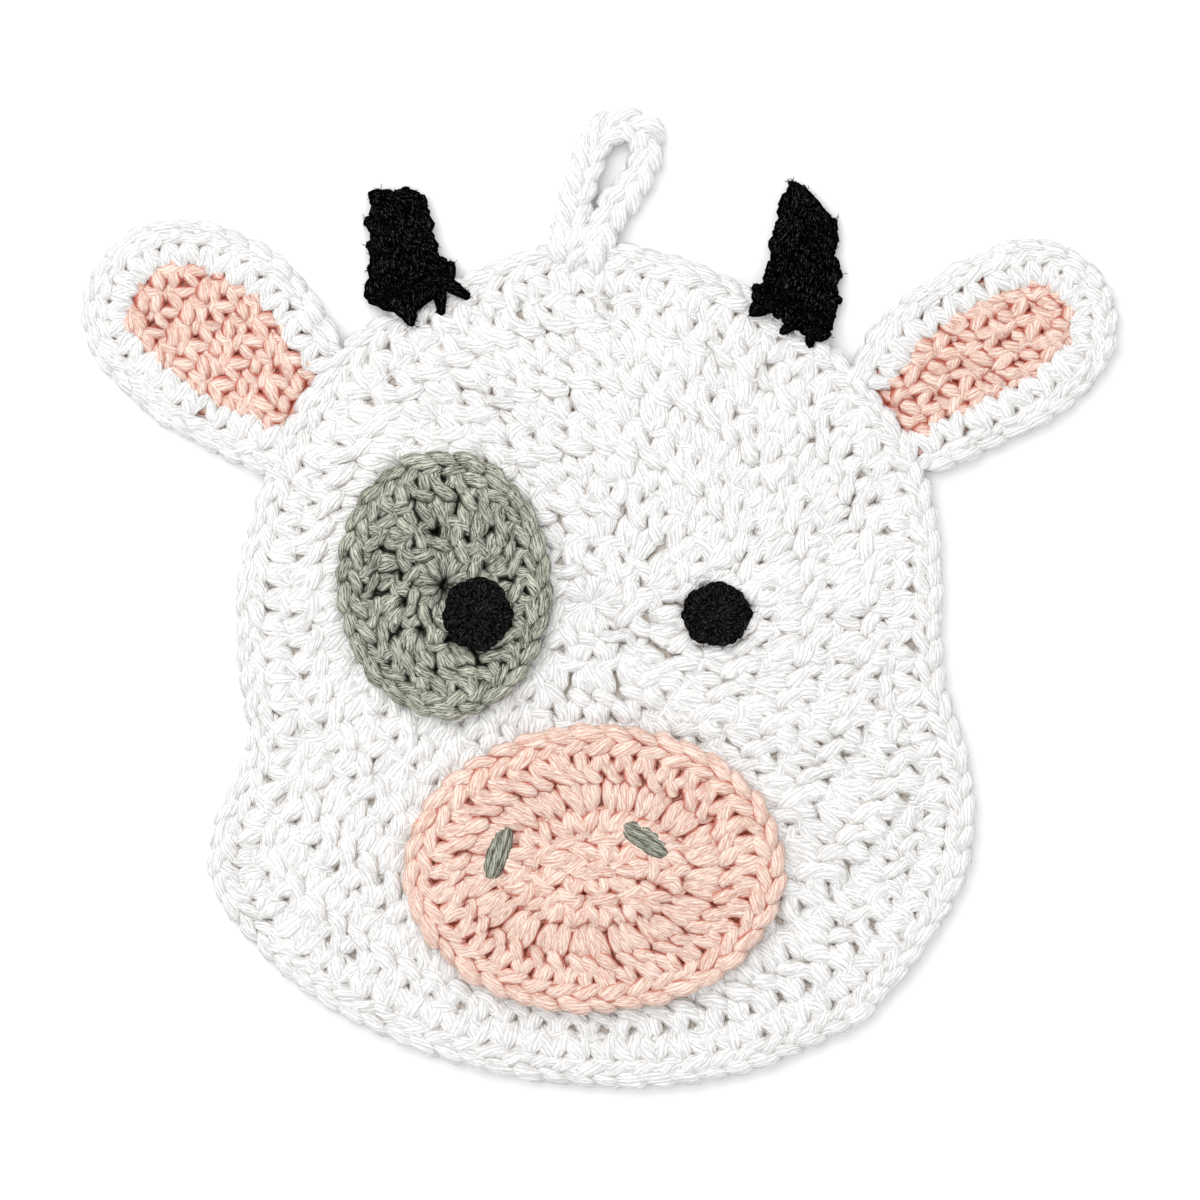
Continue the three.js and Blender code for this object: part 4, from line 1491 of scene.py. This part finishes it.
# %% The horns' roots and sewing
HORN_ROOTS = {
    "left": (
        (-58.8, 78.7), (-57.3, 75.0), (-54.1, 72.5), (-51.1, 70.3), (-46.6, 67.3),
        (-44.9, 70.6), (-42.9, 73.5), (-40.2, 74.5), (-35.7, 77.7), (-34.7, 81.7),
    ),
    "right": (
        (36.2, 77.0), (37.1, 73.8), (36.5, 70.4), (39.2, 70.1), (47.6, 69.1), (50.3, 65.9),
        (55.4, 64.4), (58.0, 67.4),
    ),
}
HORN_SEWING = {
    "left": (((-37.5, 78.2), (-32.5, 75.0)), ((-39.7, 76.8), (-39.4, 70.9))),
    "right": (((52.6, 68.2), (51.8, 62.8)), ((49.5, 69.6), (44.9, 66.4))),
}
SEWING_RADIUS = 1.35
SEWING_HEIGHT = 6.6
SEWING_DIVE = 2.6
SEWING_START_DIP = 1.0
SEWING_TONE = 0.3
SEWING_STEPS = 7
SEWING_TAPER = 0.5
SEWING_DIVE_POWER = 6
SEWING_DIP_POWER = 4


def sewing_stitch(start, end, number):
    """One long stitch that runs over the head's edge and dives into it."""
    part = np.linspace(0, 1, SEWING_STEPS)
    xy = np.array(start) + (np.array(end) - start) * part[:, None]
    dive = SEWING_DIVE * np.abs(part) ** SEWING_DIVE_POWER
    z = SEWING_HEIGHT - dive - SEWING_START_DIP * (1 - part) ** SEWING_DIP_POWER
    radii = SEWING_RADIUS * (1 - SEWING_TAPER * part**2)
    return a_yarn(np.c_[xy, z], radii, np.full(SEWING_STEPS, SEWING_TONE), SEWING_STEPS * number)


print("sewing stitches on each horn:", len(HORN_SEWING["left"]))

# %% Both horns
HORN_ROW = 2.8
HORN_STITCH = 3.2
HORN_MIDDLE_HEIGHT = 2.0
HORN_HALF = 2.2
HORN_PLUMP = 1.0
HORN_INSET = 1.5
HORN_GROUND_INSET = 1.3
HORN_GROUND_STEPS = 72
HORN_LAP = 6.0
HORN_LAP_FROM = 5.0
HORN_RISE = 4.4
HORN_FIBRES = 900
FINE_STEP = 0.9
FINE_SIDES = 6


def over_edge(xy):
    """A lift that carries the horn's root up onto the head."""
    inside = np.clip((HORN_LAP_FROM - beyond_head(xy)) / HORN_LAP, 0, 1)
    return HORN_RISE * inside * inside * (3 - 2 * inside)


for side, sign in (("left", -1), ("right", 1)):
    node = f"horn_{side}"
    horn_middle = node_middle(node)
    horn_edge = outline([node], horn_middle)
    towards = unit(ROUNDS_MIDDLE - horn_middle)
    run = free_run(horn_edge)
    whole = even_curve(np.vstack([run, np.array(HORN_ROOTS[side]), run[:1]]), EDGE_STEPS)
    yarns = rows_in_shape(
        inset(whole, HORN_INSET),
        horn_middle,
        -towards,
        HORN_ROW,
        HORN_STITCH,
        130 + sign * 20,
        HORN_MIDDLE_HEIGHT,
        HORN_PLUMP,
        (LOW_STITCH,),
        over_edge,
    )
    yarns += [sewing_stitch(start, end, k) for k, (start, end) in enumerate(HORN_SEWING[side])]
    yarns += stray_fibres(yarns, HORN_FIBRES, 150 + sign)
    horn = yarn_piece(
        f"horn_{side}_rows", yarns, BLACK, HORN_MIDDLE_HEIGHT, HORN_HALF, step=FINE_STEP, sides=FINE_SIDES
    )
    horn_ground = ground_piece(
        f"horn_{side}_ground",
        horn_middle,
        even_curve(inset(whole, HORN_GROUND_INSET), HORN_GROUND_STEPS),
        HORN_MIDDLE_HEIGHT,
        BLACK_SHADED_GROUND,
        seed=56,
        lift=over_edge,
    )
    declare_cloth(horn_ground, [horn], horn_edge, node)

# %% [markdown]
# The eyes
# Each eye is a small disc of the same fine black yarn, worked round and round. A flat disc with a rough
# finish would do from far away, but from near by the stitches and stray fibres break its edge, so it is
# worked like the rest. Hand work of that size isn't quite round, so its outline is a little uneven.

# %% Eyes
EYES = {
    "left": {"middle": ROUNDS_MIDDLE + (-28.3, -2.7), "half": (8.2, 8.7), "height": 11.2},
    "right": {"middle": ROUNDS_MIDDLE + (30.9, -2.8), "half": (8.2, 7.6), "height": 6.7},
}
EYE_ROUNDS = (6, 12, 18)
EYE_PLUMP = 0.58
EYE_DEPTH = 0.6
EYE_HALF = 1.6
EYE_LOW = 1.5
EYE_STITCH_HEIGHT = 2.6
EYE_HOLE = 0.4
EYE_INSET = 0.9
EYE_FIBRES = 260
EYE_UNEVEN = 0.03
EYE_GROUND_INSET = 0.8
EYE_GROUND_DROP = 0.3
EYE_STEPS = 48
EYE_SEAM_STEPS = 120


def eye_seam(eye, part):
    """The seam a share of the way out from the eye's middle."""
    wide, high = (EYE_HOLE + (half - EYE_INSET) * part for half in eye["half"])
    return even_curve(oval(eye["middle"], wide, high, 0.0, uneven=EYE_UNEVEN * part), EYE_SEAM_STEPS)


for side, eye in EYES.items():
    yarns = []
    for k, count in enumerate(EYE_ROUNDS):
        inner, outer = (eye_seam(eye, part) for part in (k / len(EYE_ROUNDS), (k + 1) / len(EYE_ROUNDS)))
        yarns.append(
            work_row(
                strip(inner, outer),
                count,
                LOW_STITCH,
                EYE_STITCH_HEIGHT,
                seed=160 + k,
                middle=eye["height"],
                plump=EYE_PLUMP,
                depth=EYE_DEPTH,
            )
        )
    yarns += stray_fibres(yarns, EYE_FIBRES, 170 + len(side))
    disc = yarn_piece(
        f"eye_{side}_rounds",
        yarns,
        EYE_BLACK,
        eye["height"],
        EYE_HALF,
        step=FINE_STEP,
        sides=FINE_SIDES,
        low=eye["height"] - EYE_LOW,
    )
    rim = oval(eye["middle"], *eye["half"], 0.0, EYE_STEPS)
    height = eye["height"] - EYE_GROUND_DROP
    inner = inset(rim, EYE_GROUND_INSET)
    eye_ground = ground_piece(f"eye_{side}_ground", eye["middle"], inner, height, BLACK_SHADED_GROUND, seed=54)
    declare_cloth(eye_ground, [disc], rim, f"eye_{side}")

# %% [markdown]
# The nostrils
# Each nostril is a few straight stitches of grey-green yarn laid side by side, which dive into the muzzle
# at both ends. They could come from a stitch table too, but nothing loops there, so a short formula gives
# the points of each.

# %% Nostrils
NOSTRILS = {
    "left": {"from": (-20.7, -55.4), "to": (-25.7, -68.6), "width": 4.4},
    "right": {"from": (7.3, -54.4), "to": (19.2, -62.6), "width": 4.7},
}
NOSTRIL_STRANDS = 3
NOSTRIL_STEPS = 9
NOSTRIL_RADIUS = 0.95
NOSTRIL_TOP = 10.3
NOSTRIL_DIVE = 2.4
NOSTRIL_DIVE_POWER = 6
NOSTRIL_SIDE_DROP = 0.7
NOSTRIL_UNEVEN = 0.1
NOSTRIL_END_WIDTH = 0.12
NOSTRIL_FULLNESS = 0.7
NOSTRIL_END_SIZE = 0.7
NOSTRIL_MIDDLE_HEIGHT = 7.0
NOSTRIL_HALF = 2.6
NOSTRIL_RING_STEP = 0.7
NOSTRIL_SIDES = 10

for side, nostril in NOSTRILS.items():
    rng = np.random.default_rng(180 + len(side))
    start = ROUNDS_MIDDLE + nostril["from"]
    end = ROUNDS_MIDDLE + nostril["to"]
    along = unit(end - start)
    beside = np.array([-along[1], along[0]])
    strands = []
    for k in range(NOSTRIL_STRANDS):
        place_across = (k - (NOSTRIL_STRANDS - 1) / 2) * nostril["width"] / NOSTRIL_STRANDS
        parts = np.linspace(0, 1, NOSTRIL_STEPS)
        bulge = np.sin(np.pi * parts) ** NOSTRIL_FULLNESS
        draw_in = NOSTRIL_END_WIDTH + (1 - NOSTRIL_END_WIDTH) * bulge
        xy = start + (end - start) * parts[:, None] + beside * (place_across * draw_in)[:, None]
        top = NOSTRIL_TOP - NOSTRIL_DIVE * np.abs(2 * parts - 1) ** NOSTRIL_DIVE_POWER
        z = top - NOSTRIL_SIDE_DROP * abs(k - 1) + rng.normal(0, NOSTRIL_UNEVEN)
        radii = NOSTRIL_RADIUS * (NOSTRIL_END_SIZE + (1 - NOSTRIL_END_SIZE) * draw_in)
        tones = np.full(NOSTRIL_STEPS, rng.uniform())
        strands.append(a_yarn(np.c_[xy, z], radii, tones, rng.uniform(*PATTERN_STARTS)))
    bundle = yarn_piece(
        f"nostril_{side}_strands",
        strands,
        SAGE_STITCH,
        NOSTRIL_MIDDLE_HEIGHT,
        NOSTRIL_HALF,
        step=NOSTRIL_RING_STEP,
        sides=NOSTRIL_SIDES,
    )
    declare_yarn(bundle, f"nostril_{side}")

# %% [markdown]
# The hanging loop
# A short length of chain, worked out from the top of the head and fixed back beside its start. Both its ends
# are held, so it is no free cord, and it is made as the edges are, as a braid along its middle line.

# %% Hanging loop
LOOP_LINE = (
    (-9.6, 84.2), (-7.6, 91.6), (-6.0, 99.0), (-3.3, 107.7), (-0.7, 114.4), (3.0, 117.4), (7.4, 117.9),
    (11.2, 115.7), (11.9, 111.4), (10.4, 107.2), (6.7, 101.5), (2.6, 95.3), (-0.4, 90.4), (-3.6, 84.6),
)
LOOP_CHAINS = 14
LOOP_MIDDLE_HEIGHT = 2.2
LOOP_HALF = 2.4
LOOP_BRAID_RISE = 0.2
LOOP_RISE = 1.8
LOOP_RISE_RUN = 4.0
LOOP_UPPER = {"plump": 1.2, "spread": 1.25}
LOOP_UNDER = {"plump": 1.05, "spread": 1.05}
LOOP_CUT = 0.4
LOOP_STEPS = 200
LOOP_SPOT = 1.0

line = np.array(LOOP_LINE)
level = np.ones(len(line))
bent, _, _, _ = smooth_route(np.c_[line, 0 * level], level, level, LOOP_CUT)
loop_line = even_curve(bent[:, :2], LOOP_STEPS)


def over_braid(xy):
    """A lift that lays the loop's ends on the head's braid."""
    return LOOP_RISE * np.clip(1 - beyond_head(xy) / LOOP_RISE_RUN, 0, 1)


upper_height, under_height = LOOP_MIDDLE_HEIGHT + LOOP_BRAID_RISE, LOOP_MIDDLE_HEIGHT - LOOP_BRAID_RISE
loop_yarns = braid(loop_line, LOOP_CHAINS, 190, upper_height, **LOOP_UPPER, closed=False, lift=over_braid)
loop_yarns += braid(loop_line, LOOP_CHAINS, 191, under_height, **LOOP_UNDER, closed=False, flip=-1.0)
loop_middle = loop_line.mean(0)
# The whole loop is edge, so its outline is taken as a spot in its opening, and none of its yarn gets the
# painted shade of crevices and steep sides.
rim = (circle(loop_middle, LOOP_SPOT), loop_middle)
hanger = yarn_piece("hanging_loop_chain", loop_yarns, WHITE, LOOP_MIDDLE_HEIGHT, LOOP_HALF, rim=rim)
declare_yarn(hanger, "hanging_loop")

# %% [markdown]
# Floor and light
# A plain pale floor and soft light from all round, with one large lamp up to the left, give the bright flat
# look of a studio.

# %% Floor
FLOOR_HALF = 1.5
FLOOR_COLOUR = (0.98, 0.98, 0.98, 1)
FLOOR_ROUGHNESS = 0.9

floor_mesh = bpy.data.meshes.new("floor")
floor_mesh.from_pydata(
    [(x * FLOOR_HALF, y * FLOOR_HALF, 0) for x, y in ((-1, -1), (1, -1), (1, 1), (-1, 1))],
    [],
    [(0, 1, 2, 3)],
)
floor = bpy.data.objects.new("floor", floor_mesh)
bpy.context.scene.collection.objects.link(floor)
floor_finish = bpy.data.materials.new("floor_paint")
floor_finish.use_nodes = True
floor_shader = floor_finish.node_tree.nodes["Principled BSDF"]
floor_shader.inputs["Base Color"].default_value = FLOOR_COLOUR
floor_shader.inputs["Roughness"].default_value = FLOOR_ROUGHNESS
floor_mesh.materials.append(floor_finish)
print("the floor is", 2 * FLOOR_HALF, "m wide")

# %% Sky and lamp
SKY_STRENGTH = 0.85
LAMP_SIZE = 1.5
LAMP_ENERGY = 11.0
LAMP_PLACE = (-0.45, 0.55, 1.15)

sky = bpy.data.worlds.new("studio")
bpy.context.scene.world = sky
sky.use_nodes = True
sky.node_tree.nodes["Background"].inputs["Color"].default_value = (1, 1, 1, 1)
sky.node_tree.nodes["Background"].inputs["Strength"].default_value = SKY_STRENGTH

lamp_data = bpy.data.lights.new("softbox", "AREA")
lamp_data.shape = "DISK"
lamp_data.size = LAMP_SIZE
lamp_data.energy = LAMP_ENERGY
lamp = bpy.data.objects.new("softbox", lamp_data)
bpy.context.scene.collection.objects.link(lamp)
lamp.location = LAMP_PLACE
lamp.rotation_euler = Vector(lamp.location).to_track_quat("Z", "Y").to_euler()
bpy.context.scene.view_settings.view_transform = "Standard"
print("one lamp,", LAMP_SIZE, "m wide")
